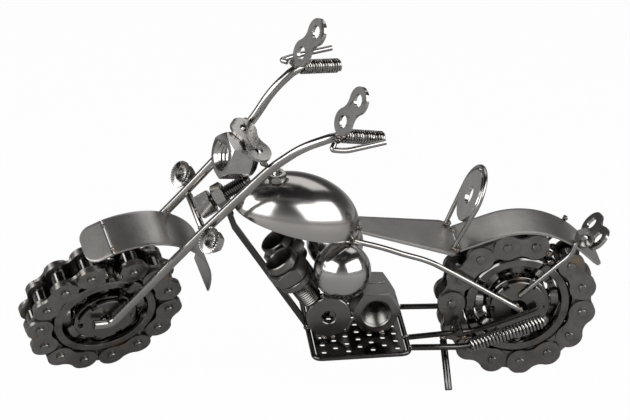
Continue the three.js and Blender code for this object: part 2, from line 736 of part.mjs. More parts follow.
function addTail() {
  const r = fenderRadius();
  for (const [name, side] of SIDES) {
    const top = Math.sqrt(r * r - tailStay.topX ** 2) + tailStay.topRise;
    const route = [
      point(tailStay.footX, side * (hubFace + weldGap + stayRod), tailStay.footZ),
      point(tailStay.topX - 2, side * tailStay.y, top - tailStay.kneeDrop),
      point(tailStay.topX, side * tailStay.y, top),
    ];
    add(bike, `tail_stay_${name}`, bentRod(route, stayRod, { bend: 3, steps: 12 }), finish.rod);
  }
  const from = rearFender.from;
  const out = point(Math.cos(from), 0, Math.sin(from));
  const back = point(Math.sin(from), 0, -Math.cos(from));
  const edge = out.clone().multiplyScalar(r + sheet / 2 + weldGap);
  const { along, flats, length, bore } = tailNut;
  const hexCentre = edge.clone().addScaledVector(back, along).addScaledVector(out, flats / 2);
  hexCentre.y = tailNut.y;
  const right = point(0, 1, 0);
  const lying = turnTo(out, right, out.clone().cross(right));
  add(bike, 'tail_nut', place(nut(flats, length, bore), hexCentre, lying), finish.nut);
  const behind = along + flats / Math.sqrt(3) + weldGap + chain.plate / 2;
  const plateCentre = edge.clone().addScaledVector(back, behind).addScaledVector(out, tailPlate.lift);
  const standing = turnTo(right, back, right.clone().cross(back));
  add(bike, 'tail_plate', place(linkPlate(chain.plate, linkHole), plateCentre, standing), finish.nut);
}

// ---- exhaust, peg and kickstand, on the left ----
function addExhaust() {
  const level = base.top - sheet / 2;
  const start = base.rear + 2 * weldGap + 2 * loopRod;
  const knee = point(exhaust.kneeX, -exhaust.y, level - exhaust.kneeDrop);
  const tip = point(exhaust.rearX, -exhaust.rearY, exhaust.rearZ);
  const route = [point(start, -exhaust.y - 1, level), knee, tip];
  add(bike, 'exhaust_pipe', bentRod(route, exhaustRod, { bend: 5, steps: 14 }), finish.dark);
  const run = tip.clone().sub(knee);
  const from = knee.clone().addScaledVector(run.clone().normalize(), exhaust.setback);
  const sleeve = tube(exhaust.sleeve, exhaust.bore, from.distanceTo(tip), 16);
  const middle = from.clone().lerp(tip, 0.5);
  add(bike, 'exhaust_spring', place(sleeve, middle, alongY(run)), finish.spring);
}

function addPegs() {
  const level = base.top - sheet / 2;
  for (const [name, side] of SIDES) {
    const z = level + railRod + weldGap + pegRod;
    const start = point(peg.x, side * (railY - peg.inset), z);
    const end = point(peg.x, side * (railY - peg.inset + peg.length), z);
    add(bike, `foot_peg_${name}`, bar(start, end, pegRod, 12), finish.rod);
  }
}

function standRoute(groundDepth) {
  const level = base.top - sheet / 2;
  const railAt = (stand.topX - base.rear) / (lowerRail.kneeX - base.rear);
  const y = lowerRail.y + (railY - lowerRail.y) * railAt;
  const top = point(stand.topX, -y, level - railRod - weldGap - standRod);
  const knee = top.clone().add(point(0, -stand.kneeOut, -stand.kneeDrop));
  const down = point(0, -Math.cos(stand.footSlope), -Math.sin(stand.footSlope));
  const foot = knee.clone().addScaledVector(down, groundDepth(knee, down));
  return [top, knee, foot];
}

// ---- front end, drawn straight ahead and turned about the stem as one group ----
function forkPoints(name, side) {
  const leg = point(Math.sin(fork.rake), 0, Math.cos(fork.rake));
  const bridge = stemAt(fork.bridgeAlong);
  const legRun = point(bridge.x - frontCentre.x, 0, bridge.z - frontCentre.z).normalize();
  const start = frontCentre.clone().addScaledVector(legRun, fork.startAlong);
  const kink = bridge.clone().addScaledVector(leg, fork.kinkAlong);
  const gripStart = kink.clone().add(point(fork.gripRun[name], 0, fork.gripRise));
  const y = side * legY;
  start.y = y;
  kink.y = side * (legY + fork.kinkSpread);
  gripStart.y = side * (legY + fork.gripSpread);
  const bowed = kink.clone().lerp(gripStart, 0.5);
  bowed.x += fork.bow[0];
  bowed.z += fork.bow[1];
  const gripRun = point(
    Math.cos(grip.drop) * Math.cos(grip.splay), side * Math.sin(grip.splay),
    -Math.sin(grip.drop) * Math.cos(grip.splay),
  );
  return {
    toe: frontCentre.clone().add(point(-fork.toe, y, fork.toeRise)),
    heel: frontCentre.clone().add(point(fork.heel, y, fork.bendRise)),
    start,
    bridge: point(bridge.x, y, bridge.z),
    kink,
    bowed,
    gripStart,
    gripRun,
  };
}

function stemAt(along) {
  return point(stemPoint[0], 0, stemPoint[1]).addScaledVector(stemAxis, along);
}

function addFork() {
  for (const [name, side] of SIDES) {
    const p = forkPoints(name, side);
    const end = p.gripStart.clone().addScaledVector(p.gripRun, grip.rodInside);
    const route = [p.toe, p.heel, p.start, p.bridge, p.kink, p.bowed, p.gripStart, end];
    add(steering, `fork_bar_${name}`, bentRod(route, forkRod, { bend: 7, steps: 44 }), finish.rod);

    const middle = p.gripStart.clone().addScaledVector(p.gripRun, grip.setback + grip.length / 2);
    const sleeve = tube(grip.radius, grip.bore, grip.length, 16);
    add(steering, `grip_spring_${name}`, place(sleeve, middle, alongY(p.gripRun)), finish.spring);
  }
  const bridge = stemAt(fork.bridgeAlong);
  const half = legY - forkRod - weldGap;
  const from = point(bridge.x, -half, bridge.z);
  const to = point(bridge.x, half, bridge.z);
  add(steering, 'fork_bridge', bar(from, to, bridgeRod, 10), finish.rod);
}

function addStem() {
  const headStart = fork.bridgeAlong + bridgeRod + weldGap;
  const headEnd = headStart + stemBolt.head;
  const head = place(
    hexagon(stemBolt.flats, stemBolt.head), stemAt((headStart + headEnd) / 2), alongY(stemAxis),
  );
  const shank = bar(stemAt(headEnd - 0.5), stemAt(headEnd + stemBolt.shank), stemBolt.thread, 16);
  add(steering, 'stem_bolt', join(head, shank), finish.nut);

  const block = nut(headNut.flats, headNut.thickness, stemBolt.thread + headNut.clearance);
  const turn = alongY(stemAxis);
  const shape = place(block, stemAt(headNut.along), turn);
  add(bike, 'head_nut', shape, finish.dark);
}

function addHeadlight() {
  const back = point(Math.cos(headlight.tilt), 0, -Math.sin(headlight.tilt));
  const face = point(headlight.x, 0, headlight.z);
  const middle = face.clone().addScaledVector(back, headlight.height / 2);
  const side = point(0, 1, 0);
  const up = back.clone().cross(side);
  const upright = turnTo(up, back, up.clone().cross(back));
  const hex = nut(headlight.flats, headlight.height, headlight.bore, headlight.chamfer);
  add(steering, 'headlight_nut', place(hex, middle, upright), finish.nut);
  const along = headlight.height + weldGap + headlightRing.thickness / 2;
  const ring = cylinder(headlightRing.radius, headlightRing.thickness, 24);
  const ringCentre = face.clone().addScaledVector(back, along);
  add(steering, 'headlight_back', place(ring, ringCentre, upright), finish.dark);
}

function addYoke() {
  const up = point(Math.sin(yoke.tilt), 0, Math.cos(yoke.tilt));
  const across = point(Math.sin(yoke.yaw), Math.cos(yoke.yaw), 0);
  const length = across.clone().addScaledVector(up, -across.dot(up)).normalize();
  const turn = turnTo(length, up, length.clone().cross(up));
  const plate = place(linkPlate(chain.plate, chain.pinRadius), point(yoke.x, 0, yoke.z), turn);
  add(steering, 'yoke_plate', plate, finish.nut);
}

function flangeNut() {
  const { flange, flangeThickness, flats, height, bore } = signalNut;
  const body = move(hexagon(flats, height), 0, height / 2, 0);
  const disc = move(cylinder(flange, flangeThickness, 24), 0, flangeThickness / 2, 0);
  return join(body, disc).subtract(cylinder(bore, 3 * height, 12));
}

function addSignals() {
  const bridge = stemAt(fork.bridgeAlong);
  const { flange, flats, tilt, fromBridge } = signalNut;
  const reach = Math.max(flange, flats / Math.sqrt(3));
  const facing = point(Math.cos(tilt), 0, -Math.sin(tilt));
  for (const [name, side] of SIDES) {
    const [ahead, rise] = fromBridge[name];
    const y = side * (legY + forkRod + weldGap + reach);
    const centre = point(bridge.x + ahead, y, bridge.z + rise);
    add(steering, `signal_nut_${name}`, place(flangeNut(), centre, alongY(facing)), finish.nut);
  }
}

function addMirrors() {
  const up = point(Math.sin(mirror.lean), 0, Math.cos(mirror.lean));
  const facing = point(up.z, 0, -up.x);
  for (const [name, side] of SIDES) {
    const p = forkPoints(name, side);
    const centre = p.gripStart.clone().addScaledVector(up, mirror.lift);
    centre.x -= mirror.back;
    const turn = turnTo(up, facing, up.clone().cross(facing));
    add(steering, `mirror_${name}`, place(linkPlate(chain.plate, linkHole), centre, turn), finish.nut);
  }
}

function addLevers() {
  for (const [name, side] of SIDES) {
    const p = forkPoints(name, side);
    const rootOut = forkRod + leverRod + 2 * weldGap;
    const offsets = [
      [-lever.rootBack, rootOut, 0],
      [-lever.hook, lever.hookOut, -lever.hookDrop],
      [lever.knee, lever.out, -lever.drop],
      [lever.length, lever.out, -lever.drop - lever.tipDrop],
    ];
    const route = offsets.map(([x, y, z]) => p.gripStart.clone().add(point(x, side * y, z)));
    const rod = bentRod(route, leverRod, { bend: 2.6, sides: 6, steps: 18 });
    add(steering, `lever_${name}`, rod, finish.rod);
  }
}

function addFrontFender() {
  const { centre, radius, from, to, nose, noseCorner, noseDroop, sideGap } = frontFender;
  const half = legY - forkRod - sideGap;
  const middle = [frontCentre.x + centre[0], frontCentre.z + centre[1]];
  const line = arcLine(middle, radius, from, to, 14);
  add(steering, 'front_fender', slab(stripOutline(line, sheet), 2 * half), finish.brushed);
  const [x, z] = line[line.length - 1];
  const back = point(Math.cos(noseDroop), 0, Math.sin(noseDroop));
  const root = point(x, 0, z).addScaledVector(back, -weldGap);
  const outline = roundEnd(half, nose, noseCorner);
  const plate = slab(outline.map(([a, b]) => [a + nose, Math.min(Math.max(b, -half), half)]), sheet);
  const forward = back.clone().negate();
  const up = point(forward.z, 0, -forward.x);
  const turn = turnTo(forward, up, forward.clone().cross(up));
  add(steering, 'front_fender_nose', place(plate, root, turn), finish.brushed);
}

// ---- assembly ----
const firstPin = { rear: 76 * DEG, front: 104.4 * DEG };
addDownTube();
addRails();
addBase();
addPlugs();
addEngine();
addTank();
addSeat();
addRearFender();
addBackrest();
addTail();
addExhaust();
addPegs();
addWheel(bike, 'rear', firstPin.rear, true, false);
addFork();
addStem();
addHeadlight();
addYoke();
addSignals();
addMirrors();
addLevers();
addFrontFender();
addWheel(steering, 'front', firstPin.front, false, true);

// everything in the steering group is drawn in the bike frame, so it turns about the stem through an offset
const stem = new THREE.Group();
stem.name = 'stem_axis';
stem.position.copy(stemAt(0));
stem.quaternion.setFromAxisAngle(stemAxis, steerAngle);
steering.position.copy(stemAt(0)).negate();
stem.add(steering);
bike.add(stem);

const leaning = new THREE.Group();
leaning.rotation.x = leanAngle;
leaning.add(bike);
const level = new THREE.Group();
level.add(leaning);
const sculpture = new THREE.Group();
sculpture.add(level);

function lowest(name) {
  sculpture.updateMatrixWorld(true);
  const mesh = sculpture.getObjectByName(name);
  const corner = new THREE.Vector3();
  let low = Infinity;
  for (let i = 0; i < mesh.geometry.attributes.position.count; i += 1) {
    corner.fromBufferAttribute(mesh.geometry.attributes.position, i).applyMatrix4(mesh.matrixWorld);
    low = Math.min(low, corner.z);
  }
  return low;
}

// pitch the bike until both wheels reach the same height
for (let i = 0; i < 6; i += 1) {
  level.rotation.y -= (lowest('front_chain') - lowest('rear_chain')) / wheelbase;
}
const ground = lowest('rear_chain');

// the kickstand runs on to the ground and is worn flat there
function addStand() {
  sculpture.updateMatrixWorld(true);
  const toWorld = bike.matrixWorld;
  const worldUp = point(0, 0, 1).transformDirection(toWorld.clone().invert());
  const height = (p) => p.clone().applyMatrix4(toWorld).z - ground;
  const depth = (knee, down) => {
    const sideDrop = standRod * Math.sqrt(1 - down.dot(worldUp) ** 2);
    return (height(knee) - sideDrop + stand.flat) / -down.dot(worldUp);
  };
  const route = standRoute(depth);
  const rod = bentRod(route, standRod, { bend: 4, sides: 10, steps: 10 });
  const reach = 200;
  const box = new THREE.BoxGeometry(reach, reach, reach);
  box.translate(0, 0, ground - reach / 2);
  box.applyMatrix4(toWorld.clone().invert());
  add(bike, 'kickstand', rod.subtract(solid(box)), finish.rod);
}
addStand();

sculpture.updateMatrixWorld(true);
const box = new THREE.Box3().setFromObject(sculpture, true);
level.position.set(-(box.min.x + box.max.x) / 2, -(box.min.y + box.max.y) / 2, -ground);
sculpture.updateMatrixWorld(true);

export default sculpture;
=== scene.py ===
# Scrap-metal motorcycle sculpture: roller-chain wheels on ball bearings, bent rods, nuts, steel balls and
# spark-plug shells, all welded together. Pieces are drawn in millimetres in the bike's own frame: origin at
# the rear axle, X to the rear, Y to the bike's right, Z up. They are then set down in metres.
import json
import math

import bpy
from mathutils import Matrix, Vector, noise


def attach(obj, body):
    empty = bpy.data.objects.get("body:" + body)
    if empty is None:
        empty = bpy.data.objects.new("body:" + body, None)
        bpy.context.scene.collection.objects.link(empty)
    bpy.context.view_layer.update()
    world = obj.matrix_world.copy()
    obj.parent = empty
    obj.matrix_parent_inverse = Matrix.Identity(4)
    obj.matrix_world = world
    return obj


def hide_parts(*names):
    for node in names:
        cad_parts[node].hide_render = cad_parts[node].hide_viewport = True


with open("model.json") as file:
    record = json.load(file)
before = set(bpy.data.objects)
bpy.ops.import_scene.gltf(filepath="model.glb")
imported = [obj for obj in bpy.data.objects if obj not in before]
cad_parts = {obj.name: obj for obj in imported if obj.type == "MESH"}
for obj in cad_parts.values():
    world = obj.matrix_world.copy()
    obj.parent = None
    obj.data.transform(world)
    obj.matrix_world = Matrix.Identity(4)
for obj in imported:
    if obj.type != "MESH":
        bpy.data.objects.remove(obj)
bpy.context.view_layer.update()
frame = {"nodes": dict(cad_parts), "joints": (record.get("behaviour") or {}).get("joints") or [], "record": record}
bpy.ops.object.select_all(action="DESELECT")
print("frame loaded,", len(frame["nodes"]), "parts")

metresPerMm = 0.001
weldGap = 0.3
sides = (("left", -1), ("right", 1))

# where the bike stands
stem = {"point": (-130.2, 0, 59.1), "rake": math.radians(59), "turned": math.radians(25.6)}
wheelbase = 181

joints = {joint["name"]: joint for joint in frame["joints"]}
rearAxle = Vector(joints["rear_spin"]["axis"]).normalized()
rearward = Vector((0, 1, 0)).cross(rearAxle).normalized()
bikeUp = rearward.cross(rearAxle)
bikeTurn = Matrix((rearward, rearAxle, bikeUp)).transposed()
onBike = (
    Matrix.Translation(joints["rear_spin"]["pos_m"]) @ bikeTurn.to_4x4() @ Matrix.Scale(metresPerMm, 4)
)
stemPoint = Vector(stem["point"])
stemAxis = Vector((math.sin(stem["rake"]), 0, math.cos(stem["rake"])))
steered = (
    Matrix.Translation(stemPoint) @ Matrix.Rotation(stem["turned"], 4, stemAxis)
    @ Matrix.Translation(-stemPoint)
)
onFork = onBike @ steered
frontHub = Vector((-wheelbase, 0, 0))


# small modelling tools
def pickOnly(piece):
    bpy.ops.object.select_all(action="DESELECT")
    piece.select_set(True)
    bpy.context.view_layer.objects.active = piece


def addModifier(piece, kind, **settings):
    pickOnly(piece)
    modifier = piece.modifiers.new(kind.title(), kind)
    for key, value in settings.items():
        setattr(modifier, key, value)
    bpy.ops.object.modifier_apply(modifier=modifier.name)


def softenEdges(piece, width, steps=2, over=40):
    addModifier(
        piece, "BEVEL", width=width, segments=steps, limit_method="ANGLE", angle_limit=math.radians(over),
        use_clamp_overlap=True,
    )


def cut(piece, tool, how="DIFFERENCE"):
    addModifier(piece, "BOOLEAN", object=tool, operation=how, solver="EXACT")
    bpy.data.objects.remove(tool)
    return piece


def joined(pieces):
    pickOnly(pieces[0])
    for piece in pieces:
        piece.select_set(True)
    bpy.ops.object.join()
    return bpy.context.object


def copied(piece, name):
    twin = piece.copy()
    twin.data = piece.data.copy()
    twin.name = name
    bpy.context.scene.collection.objects.link(twin)
    return twin


# a solid turned about Y from a closed outline of (radius, along) corners
def turned(name, outline, steps=96):
    bpy.ops.mesh.primitive_circle_add(vertices=len(outline), radius=1)
    piece = bpy.context.object
    piece.name = name
    for corner, (radius, along) in zip(piece.data.vertices, outline):
        corner.co = (radius, along, 0)
    bpy.ops.object.mode_set(mode="EDIT")
    bpy.ops.mesh.select_all(action="SELECT")
    bpy.ops.mesh.spin(steps=steps, angle=2 * math.pi, center=(0, 0, 0), axis=(0, 1, 0))
    bpy.ops.mesh.select_all(action="SELECT")
    bpy.ops.mesh.remove_doubles(threshold=0.0005)
    bpy.ops.mesh.delete_loose()
    bpy.ops.mesh.select_all(action="SELECT")
    bpy.ops.mesh.normals_make_consistent(inside=False)
    bpy.ops.object.mode_set(mode="OBJECT")
    return piece


def cylinderAlongY(radius, length, corners=64):
    bpy.ops.mesh.primitive_cylinder_add(vertices=corners, radius=radius, depth=length)
    piece = bpy.context.object
    piece.data.transform(Matrix.Rotation(math.pi / 2, 4, "X"))
    return piece


def boxOf(size, centre):
    bpy.ops.mesh.primitive_cube_add(size=1)
    piece = bpy.context.object
    piece.data.transform(Matrix.Translation(centre) @ Matrix.Diagonal((*size, 1)))
    return piece


# a round rod along a route of points; a resolution of 0 gives the sharp section of a screw thread
def rodAlong(name, route, radius, resolution=5, rounded=0.25):
    bpy.ops.curve.primitive_nurbs_path_add()
    rod = bpy.context.object
    rod.name = name
    rod.data.splines.clear()
    spline = rod.data.splines.new("POLY")
    spline.points.add(len(route) - 1)
    for knot, spot in zip(spline.points, route):
        knot.co = (*spot, 1)
    rod.data.dimensions = "3D"
    rod.data.twist_mode = "Z_UP" if resolution == 0 else "MINIMUM"
    rod.data.bevel_depth = radius
    rod.data.bevel_resolution = resolution
    rod.data.use_fill_caps = True
    pickOnly(rod)
    bpy.ops.object.convert(target="MESH")
    rod = bpy.context.object
    bpy.ops.object.mode_set(mode="EDIT")
    bpy.ops.mesh.select_all(action="SELECT")
    bpy.ops.mesh.remove_doubles(threshold=0.0005)
    bpy.ops.mesh.normals_make_consistent(inside=False)
    bpy.ops.object.mode_set(mode="OBJECT")
    if rounded:
        softenEdges(rod, rounded, 2, 60)
    return rod


# straight runs between points with each corner rounded
def bentRoute(points, bend, steps=9):
    points = [Vector(p) for p in points]
    route = [points[0]]
    for before, here, after in zip(points, points[1:], points[2:]):
        towardsLast = before - here
        towardsNext = after - here
        trim = min(bend, 0.45 * towardsLast.length, 0.45 * towardsNext.length)
        enter = here + towardsLast.normalized() * trim
        leave = here + towardsNext.normalized() * trim
        for i in range(steps + 1):
            t = i / steps
            route.append((1 - t) ** 2 * enter + 2 * t * (1 - t) * here + t * t * leave)
    route.append(points[-1])
    return route


# one smooth curve through every point
def smoothRoute(points, steps=8):
    points = [Vector(p) for p in points]
    padded = [2 * points[0] - points[1], *points, 2 * points[-1] - points[-2]]
    route = []
    for a, b, c, d in zip(padded, padded[1:], padded[2:], padded[3:]):
        for i in range(steps):
            t = i / steps
            route.append(0.5 * (
                2 * b + (c - a) * t + (2 * a - 5 * b + 4 * c - d) * t ** 2
                + (3 * b - a - 3 * c + d) * t ** 3
            ))
    route.append(points[-1])
    return route


# a wire wound about Y, from the origin towards +Y
def woundWire(name, radius, wire, pitch, turns, resolution=3, stepsPerTurn=28):
    route = []
    for i in range(int(turns * stepsPerTurn) + 1):
        angle = 2 * math.pi * i / stepsPerTurn
        route.append((radius * math.cos(angle), radius * math.sin(angle), pitch * i / stepsPerTurn))
    coil = rodAlong(name, route, wire, resolution, 0)
    coil.data.transform(Matrix.Rotation(-math.pi / 2, 4, "X"))
    return coil


def alongY(direction):
    return Vector((0, 1, 0)).rotation_difference(direction).to_matrix().to_4x4()


def facing(x, y, z):
    return Matrix((x, y, z)).transposed().to_4x4()


def at(x, y, z):
    return Matrix.Translation((x, y, z))


def settle(piece, name, place, body, finish, *nodes, smooth=34):
    pickOnly(piece)
    bpy.ops.object.transform_apply(location=True, rotation=True, scale=True)
    piece.name = name
    piece.data.name = name
    piece.data.transform(place)
    if place.determinant() < 0:
        piece.data.flip_normals()
    bpy.ops.object.shade_smooth_by_angle(angle=math.radians(smooth))
    piece.data.materials.clear()
    piece.data.materials.append(finishes[finish])
    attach(piece, body)
    if nodes:
        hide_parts(*nodes)
    return piece


# finishes
def newGroup(name, inputs, outputs):
    group = bpy.data.node_groups.new(name, "ShaderNodeTree")
    for label, kind, value in inputs:
        socket = group.interface.new_socket(label, in_out="INPUT", socket_type=kind)
        if value is not None:
            socket.default_value = value
    for label, kind in outputs:
        group.interface.new_socket(label, in_out="OUTPUT", socket_type=kind)
    return group, group.nodes.new("NodeGroupInput"), group.nodes.new("NodeGroupOutput")


def addNode(tree, kind, **settings):
    node = tree.nodes.new("ShaderNode" + kind)
    for key, value in settings.items():
        setattr(node, key, value)
    return node


# fine scratches: parallel where the stretch differs by direction, plain grain where it is equal
def makeBrushing():
    group, given, out = newGroup(
        "brushing",
        [("Stretch", "NodeSocketVector", (300, 6000, 6000)), ("Depth", "NodeSocketFloat", 0.5)],
        [("Height", "NodeSocketFloat"), ("Mask", "NodeSocketFloat")],
    )
    link = group.links.new
    place = addNode(group, "TexCoord")
    stretch = addNode(group, "VectorMath", operation="MULTIPLY")
    lines = addNode(group, "TexNoise")
    lines.inputs["Scale"].default_value = 1
    lines.inputs["Detail"].default_value = 3
    depth = addNode(group, "Math", operation="MULTIPLY")
    link(place.outputs["Object"], stretch.inputs[0])
    link(given.outputs["Stretch"], stretch.inputs[1])
    link(stretch.outputs[0], lines.inputs["Vector"])
    link(lines.outputs["Fac"], depth.inputs[0])
    link(given.outputs["Depth"], depth.inputs[1])
    link(depth.outputs[0], out.inputs["Height"])
    link(lines.outputs["Fac"], out.inputs["Mask"])
    return group


# cloudy change between two colours, as handled and lacquered steel has
def makeMottle():
    group, given, out = newGroup(
        "mottle",
        [
            ("Light", "NodeSocketColor", None), ("Dark", "NodeSocketColor", None),
            ("Scale", "NodeSocketFloat", 60), ("Share", "NodeSocketFloat", 0.5),
        ],
        [("Color", "NodeSocketColor"), ("Mask", "NodeSocketFloat")],
    )
    link = group.links.new
    place = addNode(group, "TexCoord")
    clouds = addNode(group, "TexNoise")
    clouds.inputs["Detail"].default_value = 5
    clouds.inputs["Roughness"].default_value = 0.62
    spread = addNode(group, "MapRange")
    spread.inputs["From Min"].default_value = 0.32
    spread.inputs["From Max"].default_value = 0.68
    amount = addNode(group, "Math", operation="MULTIPLY", use_clamp=True)
    mix = addNode(group, "Mix", data_type="RGBA")
    link(place.outputs["Object"], clouds.inputs["Vector"])
    link(given.outputs["Scale"], clouds.inputs["Scale"])
    link(clouds.outputs["Fac"], spread.inputs["Value"])
    link(spread.outputs["Result"], amount.inputs[0])
    link(given.outputs["Share"], amount.inputs[1])
    link(amount.outputs[0], mix.inputs["Factor"])
    link(given.outputs["Light"], mix.inputs[6])
    link(given.outputs["Dark"], mix.inputs[7])
    link(mix.outputs[2], out.inputs["Color"])
    link(amount.outputs[0], out.inputs["Mask"])
    return group


# small dark specks and pits, and rarer tan patches left by the welding heat
def makeWeldHeat():
    group, given, out = newGroup(
        "weldHeat",
        [
            ("Color", "NodeSocketColor", None), ("Specks", "NodeSocketFloat", 0.3),
            ("Tan", "NodeSocketFloat", 0.3),
        ],
        [("Color", "NodeSocketColor"), ("Pits", "NodeSocketFloat")],
    )
    link = group.links.new
    place = addNode(group, "TexCoord")
    pits = addNode(group, "TexNoise")
    pits.inputs["Scale"].default_value = 1400
    pits.inputs["Detail"].default_value = 2
    pitMask = addNode(group, "MapRange")
    pitMask.inputs["From Min"].default_value = 0.64
    pitMask.inputs["From Max"].default_value = 0.74
    pitAmount = addNode(group, "Math", operation="MULTIPLY", use_clamp=True)
    darken = addNode(group, "Mix", data_type="RGBA")
    darken.inputs[7].default_value = (0.03, 0.027, 0.025, 1)
    patches = addNode(group, "TexNoise")
    patches.inputs["Scale"].default_value = 75
    patches.inputs["Detail"].default_value = 1
    patchMask = addNode(group, "MapRange")
    patchMask.inputs["From Min"].default_value = 0.66
    patchMask.inputs["From Max"].default_value = 0.8
    patchAmount = addNode(group, "Math", operation="MULTIPLY", use_clamp=True)
    tint = addNode(group, "Mix", data_type="RGBA")
    tint.inputs[7].default_value = (0.36, 0.235, 0.13, 1)
    link(place.outputs["Object"], pits.inputs["Vector"])
    link(place.outputs["Object"], patches.inputs["Vector"])
    link(pits.outputs["Fac"], pitMask.inputs["Value"])
    link(pitMask.outputs["Result"], pitAmount.inputs[0])
    link(given.outputs["Specks"], pitAmount.inputs[1])
    link(patches.outputs["Fac"], patchMask.inputs["Value"])
    link(patchMask.outputs["Result"], patchAmount.inputs[0])
    link(given.outputs["Tan"], patchAmount.inputs[1])
    link(given.outputs["Color"], tint.inputs[6])
    link(patchAmount.outputs[0], tint.inputs["Factor"])
    link(tint.outputs[2], darken.inputs[6])
    link(pitAmount.outputs[0], darken.inputs["Factor"])
    link(darken.outputs[2], out.inputs["Color"])
    link(pitAmount.outputs[0], out.inputs["Pits"])
    return group


effects = {"brushing": makeBrushing(), "mottle": makeMottle(), "weldHeat": makeWeldHeat()}

# light and dark colour, roughness from and to, mottle scale and share, brushing stretch and depth,
# specks, tan patches
steelLooks = {
    "chain_steel": (
        (0.25, 0.238, 0.227), (0.13, 0.123, 0.117),
        0.24, 0.4, 170, 0.7, (900, 900, 900), 0.2, 0.5, 0.9,
    ),
    "race_steel": (
        (0.22, 0.213, 0.207), (0.08, 0.077, 0.075),
        0.07, 0.17, 120, 0.8, (500, 500, 500), 0.03, 0.2, 0.3,
    ),
    "polished_ball": (
        (0.5, 0.485, 0.47), (0.4, 0.388, 0.376),
        0.12, 0.2, 60, 0.4, (2500, 300, 2500), 0.1, 0.1, 0,
    ),
    "tank_steel": (
        (0.5, 0.48, 0.462), (0.4, 0.384, 0.37),
        0.13, 0.24, 45, 0.4, (3500, 180, 3500), 0.5, 0.1, 0.1,
    ),
    "sheet_steel": (
        (0.47, 0.452, 0.435), (0.32, 0.308, 0.295),
        0.28, 0.42, 90, 0.7, (4500, 4500, 220), 0.5, 0.6, 0.2,
    ),
    "bright_rod": (
        (0.4, 0.385, 0.37), (0.27, 0.26, 0.25),
        0.14, 0.24, 70, 0.5, (300, 300, 300), 0.03, 0.3, 0.2,
    ),
    "black_rod": (
        (0.1, 0.096, 0.092), (0.04, 0.038, 0.037),
        0.13, 0.24, 90, 0.6, (300, 300, 300), 0.03, 0.3, 0.1,
    ),
    "bright_nut": (
        (0.46, 0.445, 0.43), (0.3, 0.288, 0.277),
        0.13, 0.25, 90, 0.6, (500, 500, 500), 0.04, 0.3, 0.35,
    ),
    "dark_steel": (
        (0.2, 0.192, 0.184), (0.14, 0.134, 0.129),
        0.26, 0.32, 90, 0.5, (400, 400, 400), 0.02, 0.1, 0.15,
    ),
    "spring_steel": (
        (0.36, 0.345, 0.33), (0.18, 0.173, 0.166),
        0.12, 0.2, 200, 0.5, (400, 400, 400), 0.02, 0.2, 0.1,
    ),
    "weld": (
        (0.27, 0.245, 0.22), (0.06, 0.054, 0.05),
        0.14, 0.34, 420, 1.0, (900, 900, 900), 0.3, 0.5, 0.7,
    ),
}


relief = {"strength": 0.35, "distance": 0.00003}


def makeSteel(name, look):
    light, dark, smoothest, roughest, scale, share, stretch, depth, specks, tan = look
    steel = bpy.data.materials.new(name)
    steel.use_nodes = True
    tree = steel.node_tree
    link = tree.links.new
    shader = tree.nodes["Principled BSDF"]
    shader.inputs["Metallic"].default_value = 1
    used = {}
    for effect, group in effects.items():
        used[effect] = tree.nodes.new("ShaderNodeGroup")
        used[effect].node_tree = group
    mottle = used["mottle"]
    mottle.inputs["Light"].default_value = (*light, 1)
    mottle.inputs["Dark"].default_value = (*dark, 1)
    mottle.inputs["Scale"].default_value = scale
    mottle.inputs["Share"].default_value = share
    heat = used["weldHeat"]
    heat.inputs["Specks"].default_value = specks
    heat.inputs["Tan"].default_value = tan
    brushing = used["brushing"]
    brushing.inputs["Stretch"].default_value = stretch
    brushing.inputs["Depth"].default_value = depth
    uneven = addNode(tree, "MapRange")
    uneven.inputs["To Min"].default_value = smoothest
    uneven.inputs["To Max"].default_value = roughest
    both = addNode(tree, "Math", operation="ADD")
    bump = addNode(tree, "Bump")
    bump.inputs["Strength"].default_value = relief["strength"]
    bump.inputs["Distance"].default_value = relief["distance"]
    link(mottle.outputs["Color"], heat.inputs["Color"])
    link(heat.outputs["Color"], shader.inputs["Base Color"])
    link(brushing.outputs["Mask"], uneven.inputs["Value"])
    link(uneven.outputs["Result"], shader.inputs["Roughness"])
    link(brushing.outputs["Height"], both.inputs[0])
    link(heat.outputs["Pits"], both.inputs[1])
    link(both.outputs[0], bump.inputs["Height"])
    link(bump.outputs["Normal"], shader.inputs["Normal"])
    return steel


finishes = {name: makeSteel(name, look) for name, look in steelLooks.items()}
for slotted in frame["record"]["subparts"]:
    node = frame["nodes"][slotted["node"]]
    node.data.materials.clear()
    node.data.materials.append(finishes[slotted["material_slot"]])
print("finishes made")


# chain link plates, also used for the mirrors, the yoke and the tail
link = {"pitch": 12.7, "end": 5.95, "waist": 4.2, "thickness": 1.5}


